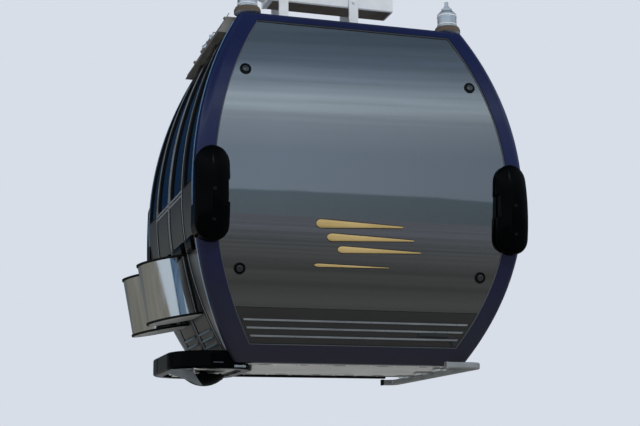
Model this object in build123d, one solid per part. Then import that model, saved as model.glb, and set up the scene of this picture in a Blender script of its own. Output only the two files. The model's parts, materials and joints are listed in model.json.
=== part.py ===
from build123d import *
from dataclasses import dataclass
from math import atan2, cos, degrees, hypot, radians, sin, sqrt
import os

# Cable car cabin of the detachable kind, hanging from a grip on its rope.
# Millimetres. X is across the rope and the doors are on the -X side, Y is along the rope, Z is up.
# The origin is the middle of the rope, in the middle of the grip's jaws.
# The cabin and what stands on its roof are drawn from the cabin's underside up, then lowered.

# Heights and fits
rope_to_underside = 4650.0
seat_gap = 0.3          # between pieces that lie on each other
panel_seam = 0.3        # joint between fixed panels
moving_gap = 5.0        # around what moves
pin_clearance = 0.05    # radial, between a pin and its bore
row_end_share = 0.5     # free length past the ends of a row of slots, in pitches


@dataclass
class WallCurve:
    """A wall seen from its edge: two arcs that meet upright at the waist, foot below and top above"""
    waist_half: float
    waist_height: float
    foot_half: float
    top_half: float

    def arc_radius(self, above):
        reach = self.waist_half - (self.top_half if above else self.foot_half)
        rise = shell_height - self.waist_height if above else self.waist_height
        return (reach**2 + rise**2) / (2 * reach)

    def half_at(self, height, inset=0.0):
        """Half-width at a height, on the wall's face moved inwards by inset"""
        radius = self.arc_radius(height > self.waist_height)
        rise = height - self.waist_height
        return self.waist_half - radius + sqrt((radius - inset)**2 - rise**2)


# Shell
shell_height = 2144.0
side_curve = WallCurve(waist_half=1050.0, waist_height=1020.0, foot_half=732.0, top_half=732.0)
end_curve = WallCurve(waist_half=790.0, waist_height=1070.0, foot_half=480.0, top_half=607.0)
corner_radius = 50.0
roof_edge_radius = 45.0
floor_thickness = 48.0
underbody_thickness = 11.0
underbody_margin = 26.0
underbody_corner = 30.0
underbody_slot_count = 6
underbody_slot_length = 130.0
underbody_slot_width = 34.0
underbody_slot_depth = 4.0
underbody_slot_inset = 128.0
roof_thickness = 60.0
roof_bead_places = (-510.0, -170.0, 170.0, 510.0)
roof_bead_length = 860.0
roof_bead_width = 36.0
roof_bead_proud = 6.0
wall_thickness = 50.0

# End frames, their panes and panels
frame_depth = 57.7
frame_band = 115.0
frame_top_rail = 58.0
frame_bottom_rail = 100.0
frame_lip = 18.0
frame_crossbar_height = 50.0
frame_crossbar_depth = 30.0
pane_setback = 12.0
pane_thickness = 8.0
pane_edge_gap = 2.0
kick_panel_top = 310.0
kick_strip_heights = (150.0, 195.0, 240.0)
kick_strip_tall = 10.0
kick_strip_proud = 5.0
kick_strip_end_margin = 28.0
trim_width = 11.7
trim_proud = 3.0
trim_wall = 20.0

# Buttons that hold each end pane: (in from the pane's side edge, height)
pane_button_places = [(74.0, 1738.0), (98.0, 520.0)]
pane_button_radius = 32.5
pane_button_proud = 5.0

# Oval buffers on the waist corners
buffer_centre_x = side_curve.waist_half - 104.0
buffer_width = 204.0
buffer_low = side_curve.waist_height - 360.0
buffer_high = side_curve.waist_height + 205.0
buffer_proud = 74.0
buffer_wrap = 105.0
buffer_edge_radius = 30.0
buffer_crown_radius = 150.0     # across its width
buffer_bow_radius = 1000.0      # along its height
buffer_notch_depth = 14.0
buffer_notch_tall = 140.0
buffer_notch_up = 15.0

# Door opening on the -X side
door_opening_half = 437.0
door_seal_width = 14.0
door_bottom = 76.0
door_top = shell_height - 154.0
window_sill = 1040.0
window_head = shell_height - 219.0
window_margin = 52.0
window_corner = 45.0
glass_setback = 10.0
glass_thickness = 6.0
glass_overlap = 12.0
glass_edge_gap = 1.0
louvre_heights = (130.0, 170.0, 210.0)
louvre_tall = 26.0
louvre_proud = 12.0
louvre_sheet = 2.5
louvre_side_margin = 62.0
louvre_root = 3.0
seal_proud = 2.0
seal_depth = 24.0
header_proud = 50.0
header_tall = 102.0
header_high = shell_height - 12.0
header_low = header_high - header_tall
header_half_length = door_opening_half + 68.0
header_link_margin = 40.0
door_rod_radius = 9.0
door_rod_out = 25.0
door_rod_height = header_low + 40.0
hanger_strap_width = 84.0
hanger_strap_near = 7.0
hanger_strap_far = 15.0
hanger_strap_foot = 34.0
hanger_block_half = 14.0
leaf_middle = (door_opening_half - door_seal_width / 2) / 2
header_wall = 6.0
corner_window_margin = 34.0
side_window_margin = 46.0

# Ski racks on the door leaves
rack_bottom = 240.0
rack_length = 365.0
rack_lean = 11.0
rack_width = door_opening_half - 87.0
rack_outer_bottom = side_curve.waist_half + 155.0
rack_depth = 375.0
rack_flat = 10.0
rack_rim_proud = 3.0
rack_rim_tall = 9.0
rack_comb_up = 325.0
rack_comb_thickness = 12.0
rack_comb_slot_width = 54.0
# each rack: its middle along Y, and how much further out and lower it hangs than the front one
rack_places = {"front": (-leaf_middle, 0.0, 0.0), "rear": (leaf_middle, 20.0, 25.0)}
rack_sheet = 4.0
rack_floor = 5.0
rack_slot_count = 4
rack_slot_width = 26.0
rack_slot_length = 190.0
rack_slot_in = 150.0

# Bumper hoop and door lever under the door
hoop_outer_x = side_curve.waist_half + 45.0
hoop_inner_x = side_curve.foot_half - 157.0
hoop_front_y = -(door_opening_half + 33.0)
hoop_rear_y = door_opening_half - 7.0
hoop_low = -36.0
hoop_high = door_bottom - 6.0
hoop_band = 62.0
hoop_corner = 235.0
hoop_edge_radius = 14.0
hoop_plate_thickness = 8.0
hoop_plate_height = -16.0
hoop_rib_places = (-300.0, 266.0)
hoop_rib_width = 44.0
hoop_rib_tall = 18.0
hoop_rib_end_margin = 70.0
hoop_slot_length = 220.0
hoop_slot_width = 40.0
lever_cap_x = -870.0
lever_cap_y = -250.0
lever_cap_radius = 134.0
lever_cap_low = -128.0
lever_cap_high = -62.0
lever_shaft_radius = 22.0
lever_arm_width = 60.0
lever_arm_thickness = 14.0
lever_arm_end_x = -700.0
lever_arm_end_y = 120.0

# Guide rail on the +X side
rail_x = side_curve.foot_half - 8.0
rail_half_length = end_curve.waist_half - 55.0
rail_front_return = 220.0
rail_rear_return = 90.0
rail_tube = 38.0
rail_height = -rail_tube / 2 - 2 * seat_gap
rail_corner = 60.0
rail_edge_radius = 8.0
rail_bracket_places = (-330.0, 0.0, 330.0)
rail_bracket_width = 60.0
rail_bracket_thickness = 10.0
rail_bracket_reach = 130.0

# Benches along both ends
bench_front_y = 300.0
bench_back_top = 960.0
bench_board_top = 420.0
bench_board_thickness = 18.0
bench_board_low = bench_board_top - bench_board_thickness
bench_half_width = side_curve.half_at(bench_board_top, wall_thickness) - 73.0
bench_back_foot_y = end_curve.half_at(bench_board_low, frame_depth) - 2.0
bench_back_top_y = end_curve.half_at(bench_back_top, frame_depth) - 39.0
bench_back_board = 12.0
cushion_thickness = 62.0
back_pad_thickness = 48.0
back_pad_low = 520.0
cushion_side_margin = 12.0
bench_leg_x = 560.0
bench_leg_thickness = 12.0
bench_leg_front_y = 360.0
bench_leg_top_inset = 20.0
cushion_front_inset = 15.0
cushion_back_gap = 14.0
cushion_edge_radius = 20.0
back_pad_edge_radius = 16.0

# Roof: spring posts on arms, legs and the suspension beam
post_x = side_curve.top_half - 60.0
post_y = end_curve.top_half - 87.0
post_radius = 62.0
post_height = 130.0
post_chamfer = 22.0
post_flange_radius = 70.0
post_flange_height = 12.0
post_neck_radius = 34.0
post_neck_height = 16.0
post_nut_radius = 22.0
post_nut_height = 16.0
post_rod_radius = 12.5
post_rod_height = 65.0
arm_low = 12.0
arm_thickness = 20.0
arm_width = 70.0
arm_eye_radius = 82.0
leg_places = (-318.0, 172.0)
leg_width = 63.0
leg_thickness = 15.0
beam_low_x = -400.0
beam_high_x = 460.0
beam_half_depth = 90.0
beam_bottom = shell_height + 292.0
beam_height = 150.0
beam_chamfer = 6.0

# Hanger, in heights below the rope
hanger_width = 110.0
hanger_depth = 130.0
hanger_edge_radius = 22.0
hanger_out_x = -738.0
hanger_slope = 20.0
hanger_low_radius = 300.0
hanger_high_radius = 400.0
hanger_foot_plate = 20.0
hanger_root = 30.0
hanger_eye_x = -214.0
hanger_eye_width = 88.0
hanger_eye_radius = 76.0
hanger_pin_radius = 30.0
hanger_pin_cap = 12.0
hanger_pin_cap_radius = 44.0
hanger_cap_room = 200.0

# Grip on the rope
rope_radius = 27.0
jaw_wall = 15.0
jaw_half_length = 110.0
jaw_gap = 5.0
jaw_foot = 20.0
jaw_top = 55.0
grip_left = 165.0
grip_bottom = -45.0
grip_shoulder = 60.0
grip_top = 150.0
grip_right = 20.0
grip_half_length = 140.0
jaw_pin_x = 60.0
jaw_pin_height = 85.0
jaw_pin_radius = 16.0
jaw_eye_radius = 34.0
lever_end_x = 250.0
lever_end_height = 190.0
lever_bar = 30.0
lever_half_depth = 20.0
spring_places = (34.0, 50.0, 66.0, 82.0)
spring_wire_radius = 7.0
spring_coil_radius = 40.0
tongue_length = 70.0
tongue_root = 12.0
tongue_tip = 4.0
tongue_tall = 34.0
lever_roller_radius = 34.0
lever_roller_width = 30.0
runner_x = -60.0
runner_height = 206.0
runner_y = 90.0
runner_radius = 50.0
runner_width = 40.0
roller_edge_radius = 5.0
runner_axle_radius = 12.0
runner_rib_thickness = 24.0
runner_rib_x = -22.0
runner_rib_head = 24.0

far = 3000.0    # past everything, for cutting tools


def outline_face(curve, low, high, inset=0.0):
    """Face between two heights, bounded by the wall's arcs on both sides; drawn as (across, height)"""
    def edge_point(height):
        return (curve.half_at(height, inset), height)
    waist = curve.waist_height
    spans = [(low, min(high, waist)), (max(low, waist), high)]
    right = [ThreePointArc(edge_point(a), edge_point((a + b) / 2), edge_point(b)) for a, b in spans if b > a]
    left = [mirror(edge, about=Plane.YZ) for edge in right]
    ends = [Line((-curve.half_at(z, inset), z), (curve.half_at(z, inset), z)) for z in (low, high)]
    return make_face(right + left + ends)


def side_block(low=-20.0, high=shell_height + 20.0, inset=0.0):
    """Everything between the two side walls' faces, as long as the cutting tools"""
    return extrude(Plane.XZ * outline_face(side_curve, low, high, inset), amount=far, both=True)


def end_block(inset=0.0, low=-20.0, high=shell_height + 20.0):
    """Everything between the two end walls' faces, as wide as the cutting tools"""
    return extrude(Plane.YZ * outline_face(end_curve, low, high, inset), amount=far, both=True)


def shell_block(inset=0.0):
    """The whole shell as one block with its corners rounded"""
    block = side_block(inset, shell_height - inset, inset) & end_block(inset)
    upright = [e for e in block.edges() if e.bounding_box().size.Z > 20]
    block = fillet(upright, corner_radius - inset)
    top = block.edges().filter_by_position(Axis.Z, shell_height - inset - 1, shell_height - inset + 1)
    return fillet(top, roof_edge_radius - inset)


def span_box(x_low, x_high, y_low, y_high, z_low, z_high):
    """Box between named limits"""
    size = (x_high - x_low, y_high - y_low, z_high - z_low)
    return Pos((x_low + x_high) / 2, (y_low + y_high) / 2, (z_low + z_high) / 2) * Box(*size)


def rod_along(axis, start, end, across, radius):
    """Round bar along X, Y or Z from start to end; across is its place on the other two axes"""
    turn = {"x": Rot(0, 90, 0), "y": Rot(-90, 0, 0), "z": Rot(0, 0, 0)}[axis]
    middle = (start + end) / 2
    place = {
        "x": Pos(middle, across[0], across[1]),
        "y": Pos(across[0], middle, across[1]),
        "z": Pos(across[0], across[1], middle),
    }[axis]
    return place * turn * Cylinder(radius, abs(end - start))


def rear_of(front):
    return mirror(front, about=Plane.XZ)


outer_shell = shell_block()
around_shell = shell_block(-seat_gap)
front_half = span_box(-far, far, -far, 0, -far, far)
wall_reach = end_block(frame_depth + trim_width + panel_seam)
side_walls = (side_block() - side_block(inset=wall_thickness)) & wall_reach
wall_low = underbody_thickness + floor_thickness + panel_seam
wall_high = shell_height - roof_thickness - panel_seam

cabin = {}
carrier = {}
grip = {}


# Floor, underside and roof
def floor_pan():
    slab = outer_shell & end_block(frame_depth + panel_seam)
    return slab & span_box(-far, far, -far, far, underbody_thickness + seat_gap,
                           underbody_thickness + floor_thickness)


def underbody_panel():
    half_x = side_curve.foot_half - underbody_margin
    half_y = end_curve.half_at(0, frame_depth + panel_seam)
    plate = extrude(RectangleRounded(2 * half_x, 2 * half_y, underbody_corner), amount=underbody_thickness)
    pitch = 2 * half_x / (underbody_slot_count + row_end_share)
    for row in (-1, 1):
        for index in range(underbody_slot_count):
            place = Pos((index - (underbody_slot_count - 1) / 2) * pitch,
                        row * (end_curve.foot_half - underbody_slot_inset), 0)
            plate -= place * extrude(SlotOverall(underbody_slot_length, underbody_slot_width),
                                     amount=underbody_slot_depth)
    return plate


def roof_panel():
    slab = outer_shell & end_block(frame_depth + panel_seam)
    panel = slab & span_box(-far, far, -far, far, shell_height - roof_thickness, far)
    for place in roof_bead_places:
        bead = extrude(Pos(place, 0, 0) * Rot(0, 0, 90) * SlotOverall(roof_bead_length, roof_bead_width),
                       amount=shell_height + roof_bead_proud)
        panel += bead & span_box(-far, far, -far, far, shell_height - roof_bead_proud, far)
    return panel


cabin["floor_pan"] = floor_pan()
cabin["underbody_panel"] = underbody_panel()
cabin["roof_panel"] = roof_panel()


# End frames with their panes, kick panels, buttons and buffers
def opening_block(inset, low, high):
    """Opening of an end frame, inset from the frame's inner edge, carried right through in Y"""
    face = outline_face(side_curve, low + inset, high - inset, frame_band + inset)
    return extrude(Plane.XZ * face, amount=far, both=True)


opening_low = frame_bottom_rail
opening_high = shell_height - frame_top_rail
lip_depth = pane_setback + pane_thickness + seat_gap


def end_frame():
    frame = (outer_shell - end_block(frame_depth)) & front_half
    frame -= opening_block(0, opening_low, opening_high) - end_block(lip_depth)
    lower = opening_block(frame_lip, opening_low, kick_panel_top - frame_crossbar_height / 2 + frame_lip)
    upper = opening_block(frame_lip, kick_panel_top + frame_crossbar_height / 2 - frame_lip, opening_high)
    frame -= lower + upper
    behind_bar = end_block(lip_depth + frame_crossbar_depth) & span_box(
        -far, far, -far, 0, kick_panel_top - frame_crossbar_height, kick_panel_top + frame_crossbar_height)
    return frame - (behind_bar & opening_block(frame_lip, opening_low, opening_high))


def end_slice(near, deep):
    """Curved sheet of the front end between two depths behind its face"""
    return (end_block(near) - end_block(deep)) & front_half


def end_pane():
    sheet = end_slice(pane_setback, pane_setback + pane_thickness)
    return sheet & opening_block(pane_edge_gap, kick_panel_top - pane_edge_gap / 2, opening_high)


def kick_panel():
    sheet = end_slice(pane_setback, pane_setback + pane_thickness)
    return sheet & opening_block(pane_edge_gap, opening_low, kick_panel_top + pane_edge_gap / 2)


def kick_strips():
    strips = []
    for height in kick_strip_heights:
        low, high = height - kick_strip_tall / 2, height + kick_strip_tall / 2
        zone = span_box(-far, far, -far, 0, low, high) & opening_block(kick_strip_end_margin, 0, opening_high)
        strips.append(end_slice(pane_setback - kick_strip_proud, pane_setback - seat_gap) & zone)
    return Compound(children=[solid for strip in strips for solid in strip.solids()])


def pane_buttons():
    buttons = []
    for edge_distance, height in pane_button_places:
        x = side_curve.half_at(height, frame_band) - edge_distance
        for side in (-1, 1):
            rod = rod_along("y", -far, 0, (side * x, height), pane_button_radius)
            face_depth = pane_setback - seat_gap
            buttons.append(rod & end_slice(face_depth - pane_button_proud, face_depth))
    return Compound(children=[solid for button in buttons for solid in button.solids()])


def buffer_crown():
    """Doubly bowed block: an arc across a buffer's width, turned about an axis far behind its face"""
    half = (buffer_crown_radius + buffer_width / 2) / 2
    drop = buffer_crown_radius - sqrt(buffer_crown_radius**2 - half**2)
    depth = 2 * (buffer_proud + buffer_wrap)
    arc = ThreePointArc((-half, drop), (0, 0), (half, drop))
    sides = Polyline((half, drop), (half, depth), (-half, depth), (-half, drop))
    swing = degrees(atan2(buffer_high - buffer_low, buffer_bow_radius))
    axis = Axis((0, buffer_bow_radius, 0), (1, 0, 0))
    block = revolve(make_face([arc] + sides.edges()), axis=axis, revolution_arc=2 * swing)
    return block.rotate(axis, -swing)


def buffer_pair():
    middle = (buffer_low + buffer_high) / 2
    face_y = -(end_curve.waist_half + buffer_proud)
    back_y = -(end_curve.waist_half - buffer_wrap)
    over_trim = side_block(inset=-trim_proud - seat_gap) & end_block(frame_depth)
    pads = []
    for side in (-1, 1):
        crown = Pos(side * buffer_centre_x, face_y, middle) * buffer_crown()
        outline = Pos(side * buffer_centre_x, middle) * Rot(0, 0, 90) * SlotOverall(
            buffer_high - buffer_low, buffer_width)
        pad = extrude(Plane.XZ.offset(-back_y) * outline, amount=back_y - face_y) & crown
        pad = fillet(pad.faces().sort_by(Axis.Y)[0].edges(), buffer_edge_radius)
        inner_x = side * (buffer_centre_x - buffer_width / 2)
        notch = Box(2 * buffer_notch_depth, far, buffer_notch_tall)
        notch = Pos(inner_x, 0, middle + buffer_notch_up) * notch
        pads.append(pad - notch - around_shell - over_trim)
    return Compound(children=[max(pad.solids(), key=lambda solid: solid.volume) for pad in pads])


def frame_trim():
    band = side_block(inset=-trim_proud) - side_block(inset=trim_wall)
    zone = end_slice(frame_depth + seat_gap, frame_depth + trim_width)
    heights = span_box(-far, far, -far, 0, door_bottom, wall_high)
    return Compound(children=list((band & zone & heights).solids()))


for end_name, place in (("front", lambda part: part), ("rear", rear_of)):
    cabin[f"{end_name}_frame"] = place(end_frame())
    cabin[f"{end_name}_pane"] = place(end_pane())
    cabin[f"{end_name}_kick_panel"] = place(kick_panel())
    cabin[f"{end_name}_kick_strips"] = place(kick_strips())
    cabin[f"{end_name}_pane_buttons"] = place(pane_buttons())
    cabin[f"{end_name}_buffers"] = place(buffer_pair())
    cabin[f"{end_name}_trim"] = place(frame_trim())


# Side walls: narrow corner walls beside the doors, one wide wall on the other side
def glazed(wall, zone):
    """Cuts a window through a wall with a rebate outside, and returns the wall and its glass"""
    hole = zone(0)
    rebate = zone(-glass_overlap) - side_block(inset=glass_setback + glass_thickness + seat_gap)
    sheet = side_block(inset=glass_setback) - side_block(inset=glass_setback + glass_thickness)
    side_limits = (-far, 0) if wall.center().X < 0 else (0, far)
    side = span_box(*side_limits, -far, far, -far, far)
    glass = sheet & side & zone(-glass_overlap + glass_edge_gap)
    return wall - hole - rebate, glass


def window_zone(y_low, y_high, corner):
    """Window outline in Y and height, as a function of how far it is moved inwards"""
    def zone(inset):
        outline = RectangleRounded(
            y_high - y_low - 2 * inset, window_head - window_sill - 2 * inset, corner - inset)
        face = Pos((y_low + y_high) / 2, (window_sill + window_head) / 2) * outline
        return extrude(Plane.YZ * face, amount=far, both=True)
    return zone


def corner_window_zone(inset):
    heights = span_box(-far, far, -far, -(door_opening_half + corner_window_margin + inset),
                       window_sill + inset, window_head - inset)
    return end_block(frame_depth + trim_width + panel_seam + corner_window_margin + inset) & heights


def corner_wall():
    zone = span_box(-far, 0, -far, -door_opening_half, wall_low, wall_high)
    return glazed(side_walls & zone, corner_window_zone)


def fixed_wall():
    zone = span_box(0, far, -far, far, wall_low, wall_high)

    def window(inset):
        heights = span_box(0, far, -far, far, window_sill + inset, window_head - inset)
        return end_block(frame_depth + trim_width + panel_seam + side_window_margin + inset) & heights
    return glazed(side_walls & zone, window)


front_corner_wall, front_corner_glass = corner_wall()
cabin["front_corner_wall"] = front_corner_wall
cabin["rear_corner_wall"] = rear_of(front_corner_wall)
cabin["front_corner_window"] = front_corner_glass
cabin["rear_corner_window"] = rear_of(front_corner_glass)
cabin["fixed_side_wall"], cabin["fixed_side_window"] = fixed_wall()


# Door leaves, their windows and seals, and the header with the door drive
def louvre_prism(height, y_low, y_high, shrink):
    """Wedge on the -X wall under a height, flush at its top and proud at its open foot"""
    low, high = height - louvre_tall / 2 - shrink, height + louvre_tall / 2 - shrink
    root_low, root_high = (-side_curve.half_at(z, louvre_root) for z in (low, high))
    lip = -side_curve.half_at(low) - louvre_proud
    outline = Polyline((root_low, low), (lip, low), (root_high, high), close=True)
    prism = extrude(Plane.XZ.offset(-y_low) * make_face(outline), amount=y_low - y_high)
    return prism


def louvres(y_low, y_high):
    hoods = []
    for height in louvre_heights:
        hood = louvre_prism(height, y_low, y_high, 0)
        hollow = louvre_prism(height, y_low + louvre_sheet, y_high - louvre_sheet, louvre_sheet)
        hollow -= side_block()
        hoods.append(hood - hollow)
    return hoods


def door_leaf():
    """Front leaf, from the seal at the middle of the opening to the seal at its front edge"""
    y_low = -(door_opening_half - door_seal_width)
    y_high = -door_seal_width / 2
    zone = span_box(-far, 0, y_low, y_high, door_bottom, door_top)
    leaf_window = window_zone(y_low + window_margin, y_high - window_margin, window_corner)
    leaf, glass = glazed(side_walls & zone, leaf_window)
    for hood in louvres(y_low + louvre_side_margin, y_high - louvre_side_margin):
        leaf += hood
    return leaf + door_hanger((y_low + y_high) / 2), glass


def door_seals():
    band = (side_block(inset=-seal_proud) - side_block(inset=seal_depth)) & wall_reach
    edge = door_opening_half - door_seal_width / 2
    half = door_seal_width / 2 - seat_gap
    strips = []
    for middle in (-edge, 0.0, edge):
        strips.append(band & span_box(-far, 0, middle - half, middle + half, door_bottom, door_top))
    head = span_box(-far, 0, -door_opening_half + seat_gap, door_opening_half - seat_gap,
                    door_top + seat_gap, door_top + door_seal_width)
    strips.append(band & head)
    return Compound(children=[solid for strip in strips for solid in strip.solids()])


def door_rod_place():
    return (-side_curve.half_at(door_rod_height) - door_rod_out, door_rod_height)


def door_hanger(middle_y):
    """Strap that stands on the leaf's head, clears the lintel and grips the rod in the header"""
    rod_x, rod_z = door_rod_place()
    low_y, high_y = middle_y - hanger_strap_width / 2, middle_y + hanger_strap_width / 2
    foot_low = door_top - hanger_strap_foot
    foot = side_block(inset=-hanger_strap_far) - side_block(inset=louvre_root)
    foot &= span_box(-far, 0, low_y, high_y, foot_low, door_top)
    strap = side_block(inset=-hanger_strap_far) - side_block(inset=-hanger_strap_near)
    strap &= span_box(-far, 0, low_y, high_y, foot_low, rod_z)
    block = span_box(rod_x - hanger_block_half, rod_x + hanger_block_half, low_y, high_y,
                     rod_z - hanger_block_half, rod_z + hanger_block_half)
    bore = rod_along("y", low_y, high_y, (rod_x, rod_z), door_rod_radius + seat_gap)
    return foot + strap + (block - side_block(inset=-hanger_strap_near)) - bore


def door_header():
    low = door_top + door_seal_width + seat_gap
    lintel = side_walls & span_box(-far, 0, -door_opening_half + seat_gap, door_opening_half - seat_gap,
                                   low, wall_high)
    box = side_block(inset=-header_proud) - side_block(inset=-seat_gap)
    box &= span_box(-far, 0, -header_half_length, header_half_length, header_low, header_high)
    box -= outer_shell
    hollow = side_block(inset=-header_proud + header_wall) - side_block(inset=-header_wall)
    hollow &= span_box(-far, 0, -header_half_length + header_wall, header_half_length - header_wall,
                       header_low - header_wall, header_high - header_wall)
    link = side_block(inset=-header_wall) - side_block(inset=wall_thickness)
    link_half = door_opening_half - header_link_margin
    link &= span_box(-far, 0, -link_half, link_half, header_low, wall_high)
    rod_half = header_half_length - header_wall / 2
    rod = rod_along("y", -rod_half, rod_half, door_rod_place(), door_rod_radius)
    room_top = door_rod_height + 2 * hanger_block_half
    hanger_room = span_box(-far, 0, -far, far, header_low - header_tall, room_top)
    notches = [hanger_room & span_box(-far, 0, side * leaf_middle - hanger_strap_width / 2 - moving_gap,
                                      side * leaf_middle + hanger_strap_width / 2 + moving_gap, -far, far)
               for side in (-1, 1)]
    for notch in notches:
        link -= notch - side_block(inset=-seat_gap)
    return lintel + (box - hollow) + link + rod


front_leaf, front_leaf_glass = door_leaf()
cabin["door_leaf_front"] = front_leaf
cabin["door_leaf_rear"] = rear_of(front_leaf)
cabin["door_window_front"] = front_leaf_glass
cabin["door_window_rear"] = rear_of(front_leaf_glass)
cabin["door_seals"] = door_seals()
cabin["door_header"] = door_header()


# Ski racks: rounded tubes that lean outwards, cut square to their length, open where they meet the door
def rack_plan(shrink):
    """Section of a rack, from its outer face at x = 0 inwards, made smaller by shrink"""
    corner = (rack_width - rack_flat) / 2 - shrink
    return Pos(rack_depth / 2, 0) * RectangleRounded(rack_depth - 2 * shrink, rack_width - 2 * shrink, corner)


def rack_stretch(shrink, low, tall):
    """The rack's filled section over a stretch of its length"""
    return Pos(0, 0, low) * extrude(rack_plan(shrink), amount=tall)


def slotted_plate(low, thickness, slot_width):
    """Plate across a rack with one slot for each pair of skis"""
    plate = rack_stretch(rack_sheet, low, thickness)
    pitch = (rack_width - 2 * rack_sheet) / (rack_slot_count + row_end_share)
    for index in range(rack_slot_count):
        slot_y = (index - (rack_slot_count - 1) / 2) * pitch
        slot = Pos(rack_slot_in, slot_y, low) * SlotOverall(rack_slot_length, slot_width)
        plate -= extrude(slot, amount=thickness)
    return plate


def ski_rack(middle_y, further_out, lower):
    rack = rack_stretch(0, 0, rack_length)
    for low in (0, rack_length - rack_rim_tall):
        rack += rack_stretch(-rack_rim_proud, low, rack_rim_tall)
    rack -= rack_stretch(rack_sheet, 0, rack_length)
    rack += slotted_plate(0, rack_floor, rack_slot_width)
    rack += slotted_plate(rack_comb_up, rack_comb_thickness, rack_comb_slot_width)
    foot = Pos(-rack_outer_bottom - further_out, middle_y, rack_bottom - lower)
    return foot * Rot(0, -rack_lean, 0) * rack - side_block(inset=-seat_gap)


for end_name, rack_place in rack_places.items():
    cabin[f"ski_rack_{end_name}"] = ski_rack(*rack_place)


# Bumper hoop with its plate and the door lever beneath it
def hoop_plan(shrink):
    width = hoop_outer_x - hoop_inner_x - 2 * shrink
    length = hoop_rear_y - hoop_front_y - 2 * shrink
    middle = Pos(-(hoop_outer_x + hoop_inner_x) / 2, (hoop_front_y + hoop_rear_y) / 2)
    return middle * RectangleRounded(width, length, hoop_corner - shrink)


def bumper_hoop():
    tall = hoop_high - hoop_low
    ring = Pos(0, 0, hoop_low) * extrude(hoop_plan(0), amount=tall)
    outer_edges = [e for e in ring.edges() if e.bounding_box().size.Z < 1]
    ring = fillet(outer_edges, hoop_edge_radius)
    ring -= Pos(0, 0, hoop_low - 1) * extrude(hoop_plan(hoop_band), amount=tall + 2)
    return ring - (side_block(-seat_gap, shell_height, -seat_gap) & end_block(-seat_gap))


def hoop_plate():
    plan = hoop_plan(hoop_band + seat_gap)
    plate = Pos(0, 0, hoop_plate_height) * extrude(plan, amount=hoop_plate_thickness)
    middle_x = -(hoop_outer_x + hoop_inner_x) / 2
    rib_half = (hoop_outer_x - hoop_inner_x) / 2 - hoop_band - hoop_rib_end_margin
    for rib_y in hoop_rib_places:
        plate += span_box(middle_x - rib_half, middle_x + rib_half, rib_y - hoop_rib_width / 2,
                          rib_y + hoop_rib_width / 2, hoop_plate_height - hoop_rib_tall, hoop_plate_height)
    slot_y = hoop_rib_places[1] - hoop_rib_width - hoop_slot_width
    slot = Pos(middle_x, slot_y, hoop_plate_height) * SlotOverall(hoop_slot_length, hoop_slot_width)
    return plate - extrude(slot, amount=hoop_plate_thickness)


def dome(rim_radius, depth):
    """Shallow round cap that hangs from its rim at the origin"""
    ball_radius = (rim_radius**2 + depth**2) / (2 * depth)
    ball = Pos(0, 0, ball_radius - depth) * Sphere(ball_radius)
    return ball & span_box(-far, far, -far, far, -depth, 0)


def door_lever():
    cap = dome(lever_cap_radius, lever_cap_high - lever_cap_low)
    cap = Pos(lever_cap_x, lever_cap_y, lever_cap_high) * cap
    shaft_top = hoop_plate_height - seat_gap
    shaft = rod_along("z", lever_cap_high, shaft_top, (lever_cap_x, lever_cap_y), lever_shaft_radius)
    run = hypot(lever_arm_end_x - lever_cap_x, lever_arm_end_y - lever_cap_y)
    turn = degrees(atan2(lever_arm_end_y - lever_cap_y, lever_arm_end_x - lever_cap_x))
    arm_middle = Pos((lever_cap_x + lever_arm_end_x) / 2, (lever_cap_y + lever_arm_end_y) / 2, lever_cap_high)
    arm = arm_middle * Rot(0, 0, turn) * extrude(SlotOverall(run + lever_arm_width, lever_arm_width),
                                                 amount=lever_arm_thickness)
    pivot = rod_along("z", lever_cap_high, shaft_top, (lever_arm_end_x, lever_arm_end_y), lever_shaft_radius)
    return cap + shaft + arm + pivot


cabin["bumper_hoop"] = bumper_hoop()
cabin["hoop_plate"] = hoop_plate()
cabin["door_lever"] = door_lever()


# Guide rail with its brackets
def guide_rail():
    path = FilletPolyline((rail_x - rail_front_return, -rail_half_length, rail_height),
                          (rail_x, -rail_half_length, rail_height), (rail_x, rail_half_length, rail_height),
                          (rail_x - rail_rear_return, rail_half_length, rail_height), radius=rail_corner)
    outline = RectangleRounded(rail_tube, rail_tube, rail_edge_radius)
    section = Plane(origin=path @ 0, z_dir=path % 0) * outline
    rail = sweep(section, path=path)
    for place in rail_bracket_places:
        low, high = place - rail_bracket_width / 2, place + rail_bracket_width / 2
        top = -seat_gap
        rail += span_box(rail_x - rail_bracket_reach, rail_x + rail_tube / 2, low, high,
                         top - rail_bracket_thickness, top)
        rail += span_box(rail_x - rail_tube / 2, rail_x + rail_tube / 2, low, high, rail_height, top)
    return rail


cabin["guide_rail"] = guide_rail()


# Benches
def bench_frame():
    floor_top = underbody_thickness + floor_thickness + seat_gap
    board = span_box(-bench_half_width, bench_half_width, -bench_back_foot_y, -bench_front_y,
                     bench_board_low, bench_board_top)
    back_outline = Polyline((-bench_back_foot_y, bench_board_low), (-bench_back_top_y, bench_back_top),
                            (-bench_back_top_y + bench_back_board, bench_back_top),
                            (-bench_back_foot_y + bench_back_board, bench_board_low), close=True)
    back = extrude(Plane.YZ * make_face(back_outline), amount=bench_half_width, both=True)
    frame = board + back
    for side in (-1, 1):
        x = side * bench_leg_x
        leg_back = -end_curve.half_at(floor_top, frame_depth + 2 * panel_seam)
        leg_outline = Polyline((leg_back, floor_top), (-bench_back_foot_y, bench_board_top),
                               (-bench_front_y - bench_leg_top_inset, bench_board_top),
                               (-bench_leg_front_y, floor_top), close=True)
        leg = extrude(Plane.YZ * make_face(leg_outline), amount=bench_leg_thickness / 2, both=True)
        frame += Pos(x, 0, 0) * leg
    return frame


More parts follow.
